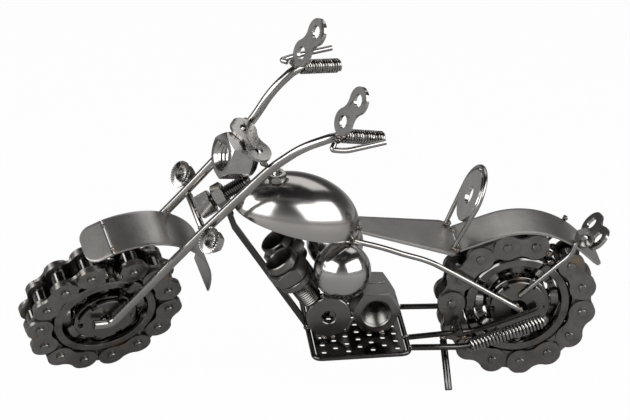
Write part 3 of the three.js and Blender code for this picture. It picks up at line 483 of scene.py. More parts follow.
def linkPlate(name, hole):
    half = link["pitch"] / 2
    # a circle that meets both ends and leaves the waist between them
    reach = (half ** 2 + link["waist"] ** 2 - link["end"] ** 2) / (2 * (link["end"] - link["waist"]))
    scoopCentre = link["waist"] + reach
    plate = boxOf((link["pitch"], link["thickness"], 2 * link["waist"] + 1.6), (0, 0, 0))
    for side in (-1, 1):
        scoop = cylinderAlongY(reach, 3 * link["thickness"], 96)
        scoop.data.transform(at(0, 0, side * scoopCentre))
        cut(plate, scoop)
    for side in (-1, 1):
        end = cylinderAlongY(link["end"], link["thickness"], 64)
        end.data.transform(at(side * half, 0, 0))
        cut(plate, end, "UNION")
    for side in (-1, 1):
        eye = cylinderAlongY(hole, 3 * link["thickness"], 40)
        eye.data.transform(at(side * half, 0, 0))
        cut(plate, eye)
    pickOnly(plate)  # the flat faces that the cuts divided are made whole
    bpy.ops.object.mode_set(mode="EDIT")
    bpy.ops.mesh.select_all(action="SELECT")
    bpy.ops.mesh.remove_doubles(threshold=0.002)
    bpy.ops.mesh.dissolve_limited(angle_limit=math.radians(1))
    bpy.ops.object.mode_set(mode="OBJECT")
    softenEdges(plate, 0.22, 2, 50)
    plate.name = name
    return plate


# wheels
wheel = {
    "pinRing": 29.6, "pins": 14, "pinRadius": 1.98, "pinLength": 16.6, "innerWidth": 7.85, "plateGap": 0.1,
    "first": {"rear": math.radians(76), "front": math.radians(104.4)},
}
roller = {"inner": 2.8, "rim": 3.7, "radius": 3.96, "half": 3.8, "straight": 3.5}
pinStep = 2 * math.asin(link["pitch"] / 2 / wheel["pinRing"])
bearing = {
    "bore": 10, "outside": 23.5, "half": 7, "innerShoulder": 14, "outerShoulder": 19.5, "middle": 16.75,
    "ball": 3.97, "balls": 8, "edge": 0.7,
}
hubDisc = {"radius": 12.5, "half": 0.75, "hole": 3.6, "notches": 6, "notchWidth": 3, "notchDepth": 1.8}
hubFace = bearing["half"] + weldGap + 2 * hubDisc["half"]


def grooveArc(shoulder, outward):
    radius = bearing["ball"] + 0.08
    spread = math.acos(abs(bearing["middle"] - shoulder) / radius)
    arc = []
    for i in range(11):
        angle = -spread + 2 * spread * i / 10
        arc.append((bearing["middle"] + outward * radius * math.cos(angle), radius * math.sin(angle)))
    return arc


def raceOutline(plain, shoulder, outward):
    half, edge = bearing["half"], bearing["edge"]
    away = outward * edge
    return [
        (plain - away, -half), (shoulder + 0.3 * away, -half), (shoulder, -half + 0.3 * edge),
        *grooveArc(shoulder, outward),
        (shoulder, half - 0.3 * edge), (shoulder + 0.3 * away, half), (plain - away, half),
        (plain, half - edge), (plain, edge - half),
    ]


def ribbonHalf(side):
    bpy.ops.mesh.primitive_cylinder_add(vertices=192, radius=1, depth=1, end_fill_type="NOTHING")
    ribbon = bpy.context.object
    for corner in ribbon.data.vertices:
        angle = math.atan2(corner.co.y, corner.co.x)
        sector = 2 * math.pi / bearing["balls"]
        offset = (angle + sector / 2) % sector - sector / 2
        across = bearing["middle"] * abs(offset)
        pocket = bearing["ball"] + 0.45
        bulge = math.sqrt(max(pocket ** 2 - across ** 2, 0))
        radius = bearing["middle"] + (1.7 if corner.co.z > 0 else -1.5)
        corner.co = (radius * math.cos(angle), side * max(0.4, bulge), radius * math.sin(angle))
    addModifier(ribbon, "SOLIDIFY", thickness=0.7, offset=0)
    return ribbon


def ballCage():
    pieces = [ribbonHalf(-1), ribbonHalf(1)]
    for i in range(bearing["balls"]):
        angle = 2 * math.pi * (i + 0.5) / bearing["balls"]
        rivet = turned("rivet", [
            (0, -1.5), (0.5, -1.4), (0.8, -1.1), (0.8, 1.1), (0.5, 1.4), (0, 1.5),
        ], 16)
        rivet.data.transform(at(
            bearing["middle"] * math.cos(angle), 0, bearing["middle"] * math.sin(angle),
        ))
        pieces.append(rivet)
    return joined(pieces)


def bearingBall():
    bpy.ops.mesh.primitive_uv_sphere_add(segments=40, ring_count=24, radius=bearing["ball"])
    return bpy.context.object


def notchedDisc():
    half = hubDisc["half"]
    disc = turned("disc", [
        (hubDisc["hole"], -half), (hubDisc["radius"] - 0.3, -half), (hubDisc["radius"], 0.3 - half),
        (hubDisc["radius"], half - 0.3), (hubDisc["radius"] - 0.3, half), (hubDisc["hole"], half),
    ], 96)
    for i in range(hubDisc["notches"]):
        size = (2 * hubDisc["notchDepth"], 6 * half, hubDisc["notchWidth"])
        notch = boxOf(size, (hubDisc["radius"], 0, 0))
        notch.data.transform(Matrix.Rotation(2 * math.pi * i / hubDisc["notches"], 4, "Y"))
        cut(disc, notch)
    return disc


def pinSpot(end, i):
    angle = wheel["first"][end] + i * pinStep
    return Vector((wheel["pinRing"] * math.cos(angle), 0, wheel["pinRing"] * math.sin(angle)))


masters = {
    "plate": linkPlate("plate", wheel["pinRadius"] - 0.05),
    "pin": turned("pin", [
        (0, -wheel["pinLength"] / 2), (1.3, -wheel["pinLength"] / 2), (1.75, 0.12 - wheel["pinLength"] / 2),
        (1.98, 0.45 - wheel["pinLength"] / 2), (1.98, wheel["pinLength"] / 2 - 0.45),
        (1.75, wheel["pinLength"] / 2 - 0.12), (1.3, wheel["pinLength"] / 2), (0, wheel["pinLength"] / 2),
    ], 40),
    "roller": turned("roller", [
        (roller["inner"], -roller["half"]), (roller["rim"], -roller["half"]),
        (roller["radius"], -roller["straight"]), (roller["radius"], roller["straight"]),
        (roller["rim"], roller["half"]), (roller["inner"], roller["half"]),
    ], 48),
    "ball": bearingBall(),
    "disc": notchedDisc(),
}
masters["halfPlate"] = copied(masters["plate"], "halfPlate")
cut(masters["halfPlate"], boxOf((20, 10, 20), (-10, 0, 0)))
masters["cage"] = ballCage()
masters["inner"] = turned("inner", raceOutline(bearing["bore"], bearing["innerShoulder"], -1), 128)
masters["outer"] = turned("outer", raceOutline(bearing["outside"], bearing["outerShoulder"], 1), 128)


def spanned(end, i, y, turn=0):
    a = pinSpot(end, i)
    b = pinSpot(end, i + 1)
    middle = (a + b) / 2
    slope = -math.atan2(b.z - a.z, b.x - a.x)
    return at(middle.x, y, middle.z) @ Matrix.Rotation(slope + turn, 4, "Y")


def addWheel(end, hub, holder):
    body = f"{end}_wheel"
    chainNode = f"{end}_chain"
    for i in range(wheel["pins"]):
        spot = at(*pinSpot(end, i))
        pin = copied(masters["pin"], "pin")
        settle(pin, f"{end}_chain_pin_{i}", hub @ spot, body, "chain_steel", chainNode)
        tube = copied(masters["roller"], "roller")
        settle(tube, f"{end}_chain_roller_{i}", hub @ spot, body, "race_steel", chainNode)
    innerY = (wheel["innerWidth"] + link["thickness"]) / 2
    outerY = innerY + link["thickness"] + wheel["plateGap"]
    for i in range(wheel["pins"] - 1):
        startsOuter = end == "rear"
        y = outerY if (i % 2 == 0) == startsOuter else innerY
        for name, side in sides:
            plate = copied(masters["plate"], "plate")
            place = hub @ spanned(end, i, side * y)
            settle(plate, f"{end}_chain_plate_{name}_{i}", place, body, "chain_steel", chainNode)
    if end == "front":
        for name, side in sides:
            for i, turn in ((-1, 0), (wheel["pins"] - 1, math.pi)):
                plate = copied(masters["halfPlate"], "halfPlate")
                place = hub @ spanned(end, i, side * outerY, turn)
                label = f"{end}_chain_cut_plate_{name}_{i + 1}"
                settle(plate, label, place, body, "chain_steel", chainNode)
    settle(copied(masters["outer"], "outer"), f"{end}_race_outer", hub, body, "race_steel",
           f"{end}_outer_race")
    settle(copied(masters["inner"], "inner"), f"{end}_race_inner", hub, holder, "race_steel",
           f"{end}_inner_race")
    cage = copied(masters["cage"], "cage")
    settle(cage, f"{end}_ribbon_cage", hub, f"{end}_cage", "dark_steel", f"{end}_ball_cage")
    for i in range(bearing["balls"]):
        angle = 2 * math.pi * i / bearing["balls"]
        spot = at(bearing["middle"] * math.cos(angle), 0, bearing["middle"] * math.sin(angle))
        ball = copied(masters["ball"], "ball")
        settle(ball, f"{end}_bearing_ball_{i}", hub @ spot, f"{end}_cage", "polished_ball",
               f"{end}_ball_cage")
    for name, side in sides:
        disc = copied(masters["disc"], "disc")
        place = hub @ at(0, side * (hubFace - hubDisc["half"]), 0)
        settle(disc, f"{end}_notched_disc_{name}", place, holder, "dark_steel", f"{end}_hub_disc_{name}")


addWheel("rear", onBike, "frame")
addWheel("front", onFork @ Matrix.Translation(frontHub), "fork")
for master in masters.values():
    bpy.data.objects.remove(master)
print("wheels made")


# nuts, bolt and threads
def threadRidge(radius, pitch, length):
    ridge = woundWire("thread", radius, 0.5 * pitch, pitch, length / pitch, 0, 36)
    ridge.data.transform(at(0, -length / 2, 0))
    return ridge


hexChamfer = {"face": 0.97, "slope": 0.55}


def hexBody(flats, height):
    corner = flats / math.sqrt(3)
    body = cylinderAlongY(corner, height, 6)
    flat = hexChamfer["face"] * flats / 2
    drop = (corner - flat) * hexChamfer["slope"]
    barrel = turned("barrel", [
        (0, -height / 2), (flat, -height / 2), (corner, drop - height / 2), (corner, height / 2 - drop),
        (flat, height / 2), (0, height / 2),
    ], 72)
    return cut(body, barrel, "INTERSECT")


def hexNut(flats, height, bore, pitch, flare):
    nut = hexBody(flats, height)
    mouth = height / 2 + 0.2
    straight = height / 2 - flare
    hole = turned("hole", [
        (0, -mouth), (bore + flare + 0.2, -mouth), (bore, -straight), (bore, straight),
        (bore + flare + 0.2, mouth), (0, mouth),
    ], 72)
    cut(nut, hole)
    return joined([nut, threadRidge(bore + 0.05, pitch, 2 * straight)])


stemBolt = {"thread": 3, "flats": 10, "head": 7, "start": -10.8, "shank": 19, "pitch": 1}
headNut = {"flats": 10, "height": 5, "along": 0.2}


def stemAt(along):
    return stemPoint + along * stemAxis


def addStem():
    headEnd = stemBolt["start"] + stemBolt["head"]
    head = hexBody(stemBolt["flats"], stemBolt["head"])
    root = stemBolt["thread"] - 0.45
    shank = turned("shank", [
        (0, 0), (root, 0), (root, stemBolt["shank"] - 1.5), (root - 0.8, stemBolt["shank"] - 0.2),
        (root - 1.6, stemBolt["shank"]), (0, stemBolt["shank"]),
    ], 48)
    head.data.transform(at(0, -stemBolt["head"] / 2, 0))
    shank.data.transform(at(0, -0.3, 0))
    length = stemBolt["shank"] - 2.4
    thread = threadRidge(root + 0.05, stemBolt["pitch"], length)
    thread.data.transform(at(0, length / 2 + 0.4, 0))
    place = onFork @ Matrix.Translation(stemAt(headEnd)) @ alongY(stemAxis)
    settle(head, "stem_bolt_hex", place, "fork", "bright_nut", "stem_bolt")
    settle(joined([shank, thread]), "stem_bolt_threaded", place, "fork", "black_rod", "stem_bolt")
    nut = hexNut(headNut["flats"], headNut["height"], 3.35, 1, 0.4)
    place = onBike @ Matrix.Translation(stemAt(headNut["along"])) @ alongY(stemAxis)
    settle(nut, "head_nut_threaded", place, "frame", "bright_rod", "head_nut")


headlight = {
    "flats": 18, "height": 10.8, "bore": 5.4, "pitch": 1.75, "flare": 1.2, "tilt": math.radians(18),
    "face": (-131.6, 0, 86.2), "ringRadius": 8.8, "ringThickness": 2.6,
}


def addHeadlight():
    back = Vector((math.cos(headlight["tilt"]), 0, -math.sin(headlight["tilt"])))
    up = Vector((math.sin(headlight["tilt"]), 0, math.cos(headlight["tilt"])))
    upright = facing(up, back, up.cross(back))
    face = Vector(headlight["face"])
    nut = hexNut(
        headlight["flats"], headlight["height"], headlight["bore"], headlight["pitch"], headlight["flare"],
    )
    place = onFork @ Matrix.Translation(face + back * headlight["height"] / 2) @ upright
    settle(nut, "headlight_threaded", place, "fork", "bright_nut", "headlight_nut")
    half = headlight["ringThickness"] / 2
    radius = headlight["ringRadius"]
    ring = turned("ring", [
        (0, -half), (radius - 0.6, -half), (radius, 0.6 - half), (radius, half - 0.6), (radius - 0.6, half),
        (radius - 2, half), (radius - 2.6, half - 0.7), (0, half - 0.7),
    ])
    along = headlight["height"] + weldGap + half
    place = onFork @ Matrix.Translation(face + back * along) @ upright
    settle(ring, "headlight_rear_ring", place, "fork", "black_rod", "headlight_back")


signalNut = {
    "flange": 5.85, "rim": 1.3, "flats": 8, "height": 5.4, "bore": 2.1, "teeth": 30,
    "tilt": math.radians(37), "out": 20.05, "fromBridge": {"left": (-0.9, 4.3), "right": (-0.9, 1.8)},
}


def serratedNut():
    rim = signalNut["rim"]
    flange = signalNut["flange"]
    disc = turned("flange", [
        (2.6, 0.35), (3.1, 0), (flange - 0.35, 0), (flange, 0.3), (flange, rim - 0.3),
        (flange - 0.5, rim), (2.6, rim),
    ], 8 * signalNut["teeth"])
    for corner in disc.data.vertices:
        radius = math.hypot(corner.co.x, corner.co.z)
        if corner.co.y < 0.2 and radius > 3:
            turn = math.atan2(corner.co.z, corner.co.x) / (2 * math.pi) * signalNut["teeth"]
            corner.co.y += 0.5 * (turn % 1)
    body = hexBody(signalNut["flats"], signalNut["height"])
    body.data.transform(at(0, signalNut["height"] / 2 + 0.3, 0))
    bore = signalNut["bore"]
    hole = turned("hole", [(0, -1), (bore + 0.9, -1), (bore, 1.2), (bore, 7), (0, 7)], 48)
    cut(body, hole)
    thread = threadRidge(bore + 0.05, 0.8, 4)
    thread.data.transform(at(0, 3.3, 0))
    return joined([disc, body, thread])


def addSignals():
    bridge = stemAt(fork["bridgeAlong"])
    direction = Vector((math.cos(signalNut["tilt"]), 0, -math.sin(signalNut["tilt"])))
    for name, side in sides:
        ahead, rise = signalNut["fromBridge"][name]
        centre = bridge + Vector((ahead, side * signalNut["out"], rise))
        place = onFork @ Matrix.Translation(centre) @ alongY(direction)
        settle(serratedNut(), f"signal_{name}", place, "fork", "bright_nut", f"signal_nut_{name}")


# fork, bars, levers and mirrors
fork = {
    "rod": 2, "y": 11.9, "rake": math.radians(37.6), "toe": (-6.9, 3), "heel": (1.2, 1.2),
    "startAlong": 17, "bridgeAlong": -12.6, "bridgeRod": 1.5, "kinkAlong": 44.4, "kinkSpread": 1.3,
    "gripRise": 21.3, "gripSpread": 8.4, "gripRun": {"left": 25.3, "right": 21.1}, "bow": (-1.2, 3.1),
}
grip = {
    "radius": 3.15, "wire": 0.56, "pitch": 1.22, "length": 18.4, "setback": 2,
    "drop": math.radians(16.8), "splay": math.radians(4), "rodInside": 11,
}
lever = {
    "rod": 1.2, "rootBack": 3, "hook": 5, "hookOut": 6.1, "hookDrop": 0.8, "knee": 1, "out": 7.6,
    "drop": 1.5, "length": 18.4, "tipDrop": -0.5,
}
mirror = {"lean": math.radians(25.5), "lift": 15.4, "back": 2.2, "hole": 2.8}
yoke = {"at": (-118.9, 0, 92.4), "tilt": math.radians(20), "yaw": math.radians(-12)}


def forkPoints(name, side):
    y = side * fork["y"]
    leg = Vector((math.sin(fork["rake"]), 0, math.cos(fork["rake"])))
    bridge = stemAt(fork["bridgeAlong"])
    start = frontHub + (bridge - frontHub).normalized() * fork["startAlong"]
    kink = bridge + leg * fork["kinkAlong"]
    gripStart = kink + Vector((fork["gripRun"][name], 0, fork["gripRise"]))
    kink.y = side * (fork["y"] + fork["kinkSpread"])
    gripStart.y = side * (fork["y"] + fork["gripSpread"])
    bowed = (kink + gripStart) / 2 + Vector((fork["bow"][0], 0, fork["bow"][1]))
    start.y = y
    run = Vector((
        math.cos(grip["drop"]) * math.cos(grip["splay"]), side * math.sin(grip["splay"]),
        -math.sin(grip["drop"]) * math.cos(grip["splay"]),
    ))
    toe = frontHub + Vector((fork["toe"][0], y, fork["toe"][1]))
    heel = frontHub + Vector((fork["heel"][0], y, fork["heel"][1]))
    return {
        "toe": toe, "start": start, "kink": kink, "gripStart": gripStart, "run": run,
        "route": [toe, heel, start, Vector((bridge.x, y, bridge.z)), kink, bowed, gripStart,
                  gripStart + run * grip["rodInside"]],
    }


def addFork():
    for name, side in sides:
        points = forkPoints(name, side)
        bar = rodAlong("bar", bentRoute(points["route"], 7), fork["rod"], 7)
        settle(bar, f"fork_rod_{name}", onFork, "fork", "bright_rod", f"fork_bar_{name}")
        turns = grip["length"] / grip["pitch"]
        coil = woundWire("coil", grip["radius"] - grip["wire"], grip["wire"], grip["pitch"], turns)
        place = onFork @ Matrix.Translation(points["gripStart"] + points["run"] * grip["setback"])
        settle(coil, f"grip_coil_{name}", place @ alongY(points["run"]), "fork", "spring_steel",
               f"grip_spring_{name}")
        rootOut = fork["rod"] + lever["rod"] + 2 * weldGap
        offsets = [
            (-lever["rootBack"], rootOut, 0), (-lever["hook"], lever["hookOut"], -lever["hookDrop"]),
            (lever["knee"], lever["out"], -lever["drop"]),
            (lever["length"], lever["out"], -lever["drop"] - lever["tipDrop"]),
        ]
        route = [points["gripStart"] + Vector((x, side * y, z)) for x, y, z in offsets]
        rod = rodAlong("lever", bentRoute(route, 2.6), lever["rod"])
        settle(rod, f"lever_rod_{name}", onFork, "fork", "bright_rod", f"lever_{name}")
        up = Vector((math.sin(mirror["lean"]), 0, math.cos(mirror["lean"])))
        front = Vector((up.z, 0, -up.x))
        centre = points["gripStart"] + up * mirror["lift"] - Vector((mirror["back"], 0, 0))
        place = onFork @ Matrix.Translation(centre) @ facing(up, front, up.cross(front))
        settle(linkPlate("plate", mirror["hole"]), f"mirror_plate_{name}", place, "fork", "bright_nut",
               f"mirror_{name}")
    bridge = stemAt(fork["bridgeAlong"])
    half = fork["y"] - fork["rod"] - weldGap
    bar = rodAlong("bar", [bridge - Vector((0, half, 0)), bridge + Vector((0, half, 0))],
                   fork["bridgeRod"])
    settle(bar, "fork_bridge_rod", onFork, "fork", "bright_rod", "fork_bridge")
    up = Vector((math.sin(yoke["tilt"]), 0, math.cos(yoke["tilt"])))
    across = Vector((math.sin(yoke["yaw"]), math.cos(yoke["yaw"]), 0))
    length = (across - up * across.dot(up)).normalized()
    place = onFork @ Matrix.Translation(yoke["at"]) @ facing(length, up, length.cross(up))
    plate = linkPlate("plate", wheel["pinRadius"])
    settle(plate, "yoke_link_plate", place, "fork", "bright_nut", "yoke_plate")


addStem()
addHeadlight()
addSignals()
addFork()
print("front end made")


# bent sheet: fenders and seat
# a strip along a line of (x, z) points, its half width given for each distance from its start
def sheetStrip(line, halfWidthAt, thickness=1, across=14):
    rows = len(line)
    bpy.ops.mesh.primitive_grid_add(x_subdivisions=rows - 1, y_subdivisions=across, size=2)
    strip = bpy.context.object
    distance = [0]
    for (x0, z0), (x1, z1) in zip(line, line[1:]):
        distance.append(distance[-1] + math.hypot(x1 - x0, z1 - z0))
    for corner in strip.data.vertices:
        row = round((corner.co.x + 1) / 2 * (rows - 1))
        x, z = line[row]
        corner.co = (x, corner.co.y * halfWidthAt(distance[row], distance[-1]), z)
    addModifier(strip, "SOLIDIFY", thickness=thickness, offset=0)
    softenEdges(strip, 0.16, 2, 60)
    return strip


def arcLine(centre, radius, start, end, steps):
    angles = [start + (end - start) * i / steps for i in range(steps + 1)]
    return [(centre[0] + radius * math.cos(a), centre[1] + radius * math.sin(a)) for a in angles]


def straightLine(a, b, steps, ease=1):
    return [(a[0] + (b[0] - a[0]) * (i / steps) ** ease, a[1] + (b[1] - a[1]) * (i / steps) ** ease)
            for i in range(steps + 1)]


def roundedTo(half, corner, fromStart):
    if fromStart >= corner:
        return half
    return half - corner + math.sqrt(corner ** 2 - (corner - fromStart) ** 2)


frontFender = {
    "centre": (11.5, 13.1), "radius": 35, "from": math.radians(-11), "to": math.radians(107), "nose": 11.5,
    "noseDroop": math.radians(22), "noseCorner": 6, "half": 9.6,
}
rearFender = {
    "radius": 38.35, "half": 10.9, "from": math.radians(45), "to": math.radians(108), "tail": 13,
    "lead": 16.6, "tailCorner": 7,
}
seat = {"rearHalf": 14.9, "frontHalf": 7, "slope": math.radians(13), "corner": 5, "length": 43.3}


def addFenders():
    centre = (frontHub.x + frontFender["centre"][0], frontFender["centre"][1])
    line = arcLine(centre, frontFender["radius"], frontFender["from"], frontFender["to"], 60)
    main = sheetStrip(line, lambda along, whole: frontFender["half"])
    settle(main, "front_fender_sheet", onFork, "fork", "sheet_steel", "front_fender")
    droop = frontFender["noseDroop"]
    start = (line[-1][0] - weldGap * math.cos(droop), line[-1][1] - weldGap * math.sin(droop))
    tip = (start[0] - frontFender["nose"] * math.cos(droop), start[1] - frontFender["nose"] * math.sin(droop))
    nose = sheetStrip(
        straightLine(tip, start, 28, 1.6),
        lambda along, whole: roundedTo(frontFender["half"], frontFender["noseCorner"], along),
    )
    settle(nose, "front_fender_nose_sheet", onFork, "fork", "sheet_steel", "front_fender_nose")

    radius, begin, end = rearFender["radius"], rearFender["from"], rearFender["to"]
    arc = arcLine((0, 0), radius, begin, end, 48)
    tail = (
        arc[0][0] + rearFender["tail"] * math.sin(begin), arc[0][1] - rearFender["tail"] * math.cos(begin),
    )
    lead = (arc[-1][0] - rearFender["lead"] * math.sin(end), arc[-1][1] + rearFender["lead"] * math.cos(end))
    line = straightLine(tail, arc[0], 20, 1.5)[:-1] + arc + straightLine(arc[-1], lead, 8)[1:]
    sheet = sheetStrip(
        line, lambda along, whole: roundedTo(rearFender["half"], rearFender["tailCorner"], along),
    )
    settle(sheet, "rear_fender_sheet", onBike, "frame", "sheet_steel", "rear_fender")

    slope = seat["slope"]
    rear = Vector((lead[0] - weldGap, 0, lead[1] + 0.5))
    seatLine = [
        (rear.x - along * math.cos(slope) - 0.5 * math.sin(slope),
         rear.z + along * math.sin(slope) - 0.5 * math.cos(slope))
        for along in [0.04 * i * i for i in range(12)] + [6 + 1.2 * i for i in range(31)] + [seat["length"]]
    ]

    def seatHalf(along, whole):
        if along < seat["corner"]:
            return roundedTo(seat["rearHalf"], seat["corner"], along)
        share = (along - seat["corner"]) / (whole - seat["corner"])
        return seat["rearHalf"] + (seat["frontHalf"] - seat["rearHalf"]) * share

    settle(sheetStrip(seatLine, seatHalf), "seat_sheet", onBike, "frame", "sheet_steel", "seat_plate")
    return rear


seatRear = addFenders()
seatForward = Vector((-math.cos(seat["slope"]), 0, math.sin(seat["slope"])))
backrest = {
    "radius": 11.9, "hole": 4, "half": 1, "lean": math.radians(24.8), "lift": 21, "footSpread": 10.9,
    "footInset": 2.2, "footLift": 1.2, "rod": 1,
}
tail = {
    "stayRod": 1, "stayFoot": (0.2, 10.1, 6.6), "stayTop": (23.6, 12.2, 32.83), "kneeDrop": 5.6,
    "nutFlats": 7, "nutLength": 5, "nutBore": 2.4, "nutAlong": -2.8, "nutY": -7, "plateBehind": 2.29,
    "plateLift": 7.4, "edge": 39.15,
}
tailOut = Vector((math.cos(rearFender["from"]), 0, math.sin(rearFender["from"])))
tailBack = Vector((math.sin(rearFender["from"]), 0, -math.cos(rearFender["from"])))
tailNutAt = tailOut * (tail["edge"] + tail["nutFlats"] / 2) + tailBack * tail["nutAlong"]
tailNutAt.y = tail["nutY"]


def addBackrest():
    up = Vector((math.sin(backrest["lean"]), 0, math.cos(backrest["lean"])))
    front = Vector((up.z, 0, -up.x))
    foot = seatRear + seatForward * backrest["footInset"] + Vector((0, 0, backrest["footLift"]))
    half, radius, hole = backrest["half"], backrest["radius"], backrest["hole"]
    washer = turned("washer", [
        (hole, -half), (radius - 0.4, -half), (radius, 0.4 - half), (radius, half - 0.4),
        (radius - 0.4, half), (hole + 0.3, half), (hole, half - 0.3),
    ])
    middle = foot + up * backrest["lift"]
    settle(washer, "backrest_ring", onBike @ Matrix.Translation(middle) @ alongY(front), "frame",
           "bright_nut", "backrest_washer")
    reach = radius + weldGap + backrest["rod"]
    route = [(0, -backrest["footSpread"], 0)]
    for i in range(33):
        angle = math.pi * (1 - i / 32)
        route.append((0, reach * math.cos(angle), backrest["lift"] + reach * math.sin(angle)))
    route.append((0, backrest["footSpread"], 0))
    hoop = rodAlong("hoop", route, backrest["rod"])
    place = onBike @ Matrix.Translation(foot) @ facing(front, Vector((0, 1, 0)), up)
    settle(hoop, "backrest_rod", place, "frame", "bright_rod", "backrest_hoop")
    return foot


def addTail():
    top = Vector(tail["stayTop"])
    for name, side in sides:
        x, y, z = tail["stayFoot"]
        route = [
            (x, side * y, z), (top.x - 2, side * top.y, top.z - tail["kneeDrop"]),
            (top.x, side * top.y, top.z),
        ]
        stay = rodAlong("stay", bentRoute(route, 3), tail["stayRod"])
        settle(stay, f"tail_stay_rod_{name}", onBike, "frame", "bright_rod", f"tail_stay_{name}")
    right = Vector((0, 1, 0))
    nut = hexNut(tail["nutFlats"], tail["nutLength"], tail["nutBore"], 0.8, 0.5)
    place = onBike @ Matrix.Translation(tailNutAt) @ facing(tailOut, right, tailOut.cross(right))
    settle(nut, "tail_nut_threaded", place, "frame", "dark_steel", "tail_nut")
    centre = tailOut * (tail["edge"] + tail["plateLift"]) + tailBack * tail["plateBehind"]
    place = onBike @ Matrix.Translation(centre) @ facing(right, tailBack, right.cross(tailBack))
    plate = linkPlate("plate", mirror["hole"])
    settle(plate, "tail_link_plate", place, "frame", "bright_nut", "tail_plate")


hoopFoot = addBackrest()
addTail()
print("sheets, backrest and tail made")


# rails, loop, exhaust, pegs and stand
base = {"front": -91, "rear": -52, "half": 25, "level": -9.4, "loopRod": 1.1}
rail = {
    "rod": 1.25, "y": 10.65, "lowerY": 13, "kneeX": -19.4, "reach": 8, "rise": 3.4,
    "upper": [
        (-74.3, 8, 38.2), (-61.7, 9, 34.5), (-52.1, 10.2, 31.2), (-41.8, 10.8, 27.5), (-32.2, 10.7, 21.7),
        (0, 10.65, 0),
    ],
}
exhaust = {
    "rod": 1.4, "startY": 21.5, "knee": (-25, -20.5, -11.4), "tip": (9.6, -15.6, -3.6), "setback": 1.4,
    "radius": 3.2, "wire": 0.56, "coils": 22,
}
peg = {"rod": 1.9, "x": -27.6, "z": -5.95, "inner": 9.05, "length": 9.5}
stand = {
    "rod": 1.6, "top": (-33.7, -11.68, -12.55), "kneeOut": 11.2, "kneeDrop": 8.8,
    "slope": math.radians(42.5), "flat": 0.7,
}


def addRails():
    for name, side in sides:
        upper = smoothRoute([(x, side * y, z) for x, y, z in rail["upper"]])
        rod = rodAlong("rail", upper, rail["rod"])
        settle(rod, f"upper_rail_rod_{name}", onBike, "frame", "bright_rod", f"upper_rail_{name}")
        below = -2 * rail["rod"] - weldGap
        rearEdge = base["rear"] + 2 * weldGap + 2 * base["loopRod"]
        lower = [
            (rearEdge, side * rail["lowerY"], base["level"]),
            (rail["kneeX"], side * rail["y"], base["level"]),
            (0, side * rail["y"], below), (rail["reach"], side * rail["y"], below + rail["rise"]),
        ]
        rod = rodAlong("rail", bentRoute(lower, 5), rail["rod"])
        settle(rod, f"lower_rail_rod_{name}", onBike, "frame", "black_rod", f"lower_rail_{name}")
        y = side * peg["inner"]
        ends = [(peg["x"], y, peg["z"]), (peg["x"], y + side * peg["length"], peg["z"])]
        rod = rodAlong("peg", ends, peg["rod"], 6, 0.5)
        settle(rod, f"foot_peg_rod_{name}", onBike, "frame", "black_rod", f"foot_peg_{name}")

    out = weldGap + base["loopRod"]
    middle = (base["front"] + base["rear"]) / 2
    across = base["half"] + out
    route = [
        (middle + 0.05, across, base["level"]), (base["rear"] + out, across, base["level"]),
        (base["rear"] + out, -across, base["level"]), (base["front"] - out, -across, base["level"]),
        (base["front"] - out, across, base["level"]), (middle - 0.05, across, base["level"]),
    ]
    loop = rodAlong("loop", bentRoute(route, 4), base["loopRod"], 5, 0)
    settle(loop, "base_loop_rod", onBike, "frame", "black_rod", "base_loop")


def addExhaust():
    knee = Vector(exhaust["knee"])
    tip = Vector(exhaust["tip"])
    start = (base["rear"] + 2 * weldGap + 2 * base["loopRod"], -exhaust["startY"], base["level"])
    pipe = rodAlong("pipe", bentRoute([start, knee, tip], 5), exhaust["rod"])
    settle(pipe, "exhaust_rod", onBike, "frame", "black_rod", "exhaust_pipe")
    run = (tip - knee).normalized()
    begin = knee + run * exhaust["setback"]
    pitch = (tip - begin).length / exhaust["coils"]
    coil = woundWire("coil", exhaust["radius"] - exhaust["wire"], exhaust["wire"], pitch,
                     exhaust["coils"])
    place = onBike @ Matrix.Translation(begin) @ alongY(run)
    settle(coil, "exhaust_coil", place, "frame", "spring_steel", "exhaust_spring")


def addStand():
    worldUp = bikeTurn.transposed() @ Vector((0, 0, 1))
    top = Vector(stand["top"])
    knee = top + Vector((0, -stand["kneeOut"], -stand["kneeDrop"]))
    down = Vector((0, -math.cos(stand["slope"]), -math.sin(stand["slope"])))
    height = (onBike @ knee).z / metresPerMm
    sideDrop = stand["rod"] * math.sqrt(1 - down.dot(worldUp) ** 2)
    foot = knee + down * (height - sideDrop + stand["flat"]) / -down.dot(worldUp)
    rod = rodAlong("stand", bentRoute([top, knee, foot], 4), stand["rod"])
    ground = foot - worldUp * (onBike @ foot).z / metresPerMm
    pickOnly(rod)
    bpy.ops.object.mode_set(mode="EDIT")
    bpy.ops.mesh.select_all(action="SELECT")
    bpy.ops.mesh.bisect(plane_co=ground, plane_no=worldUp, clear_inner=True, use_fill=True)
    bpy.ops.object.mode_set(mode="OBJECT")
    settle(rod, "kickstand_rod", onBike, "frame", "black_rod", "kickstand")


addRails()
addExhaust()
addStand()
print("rails, exhaust and stand made")


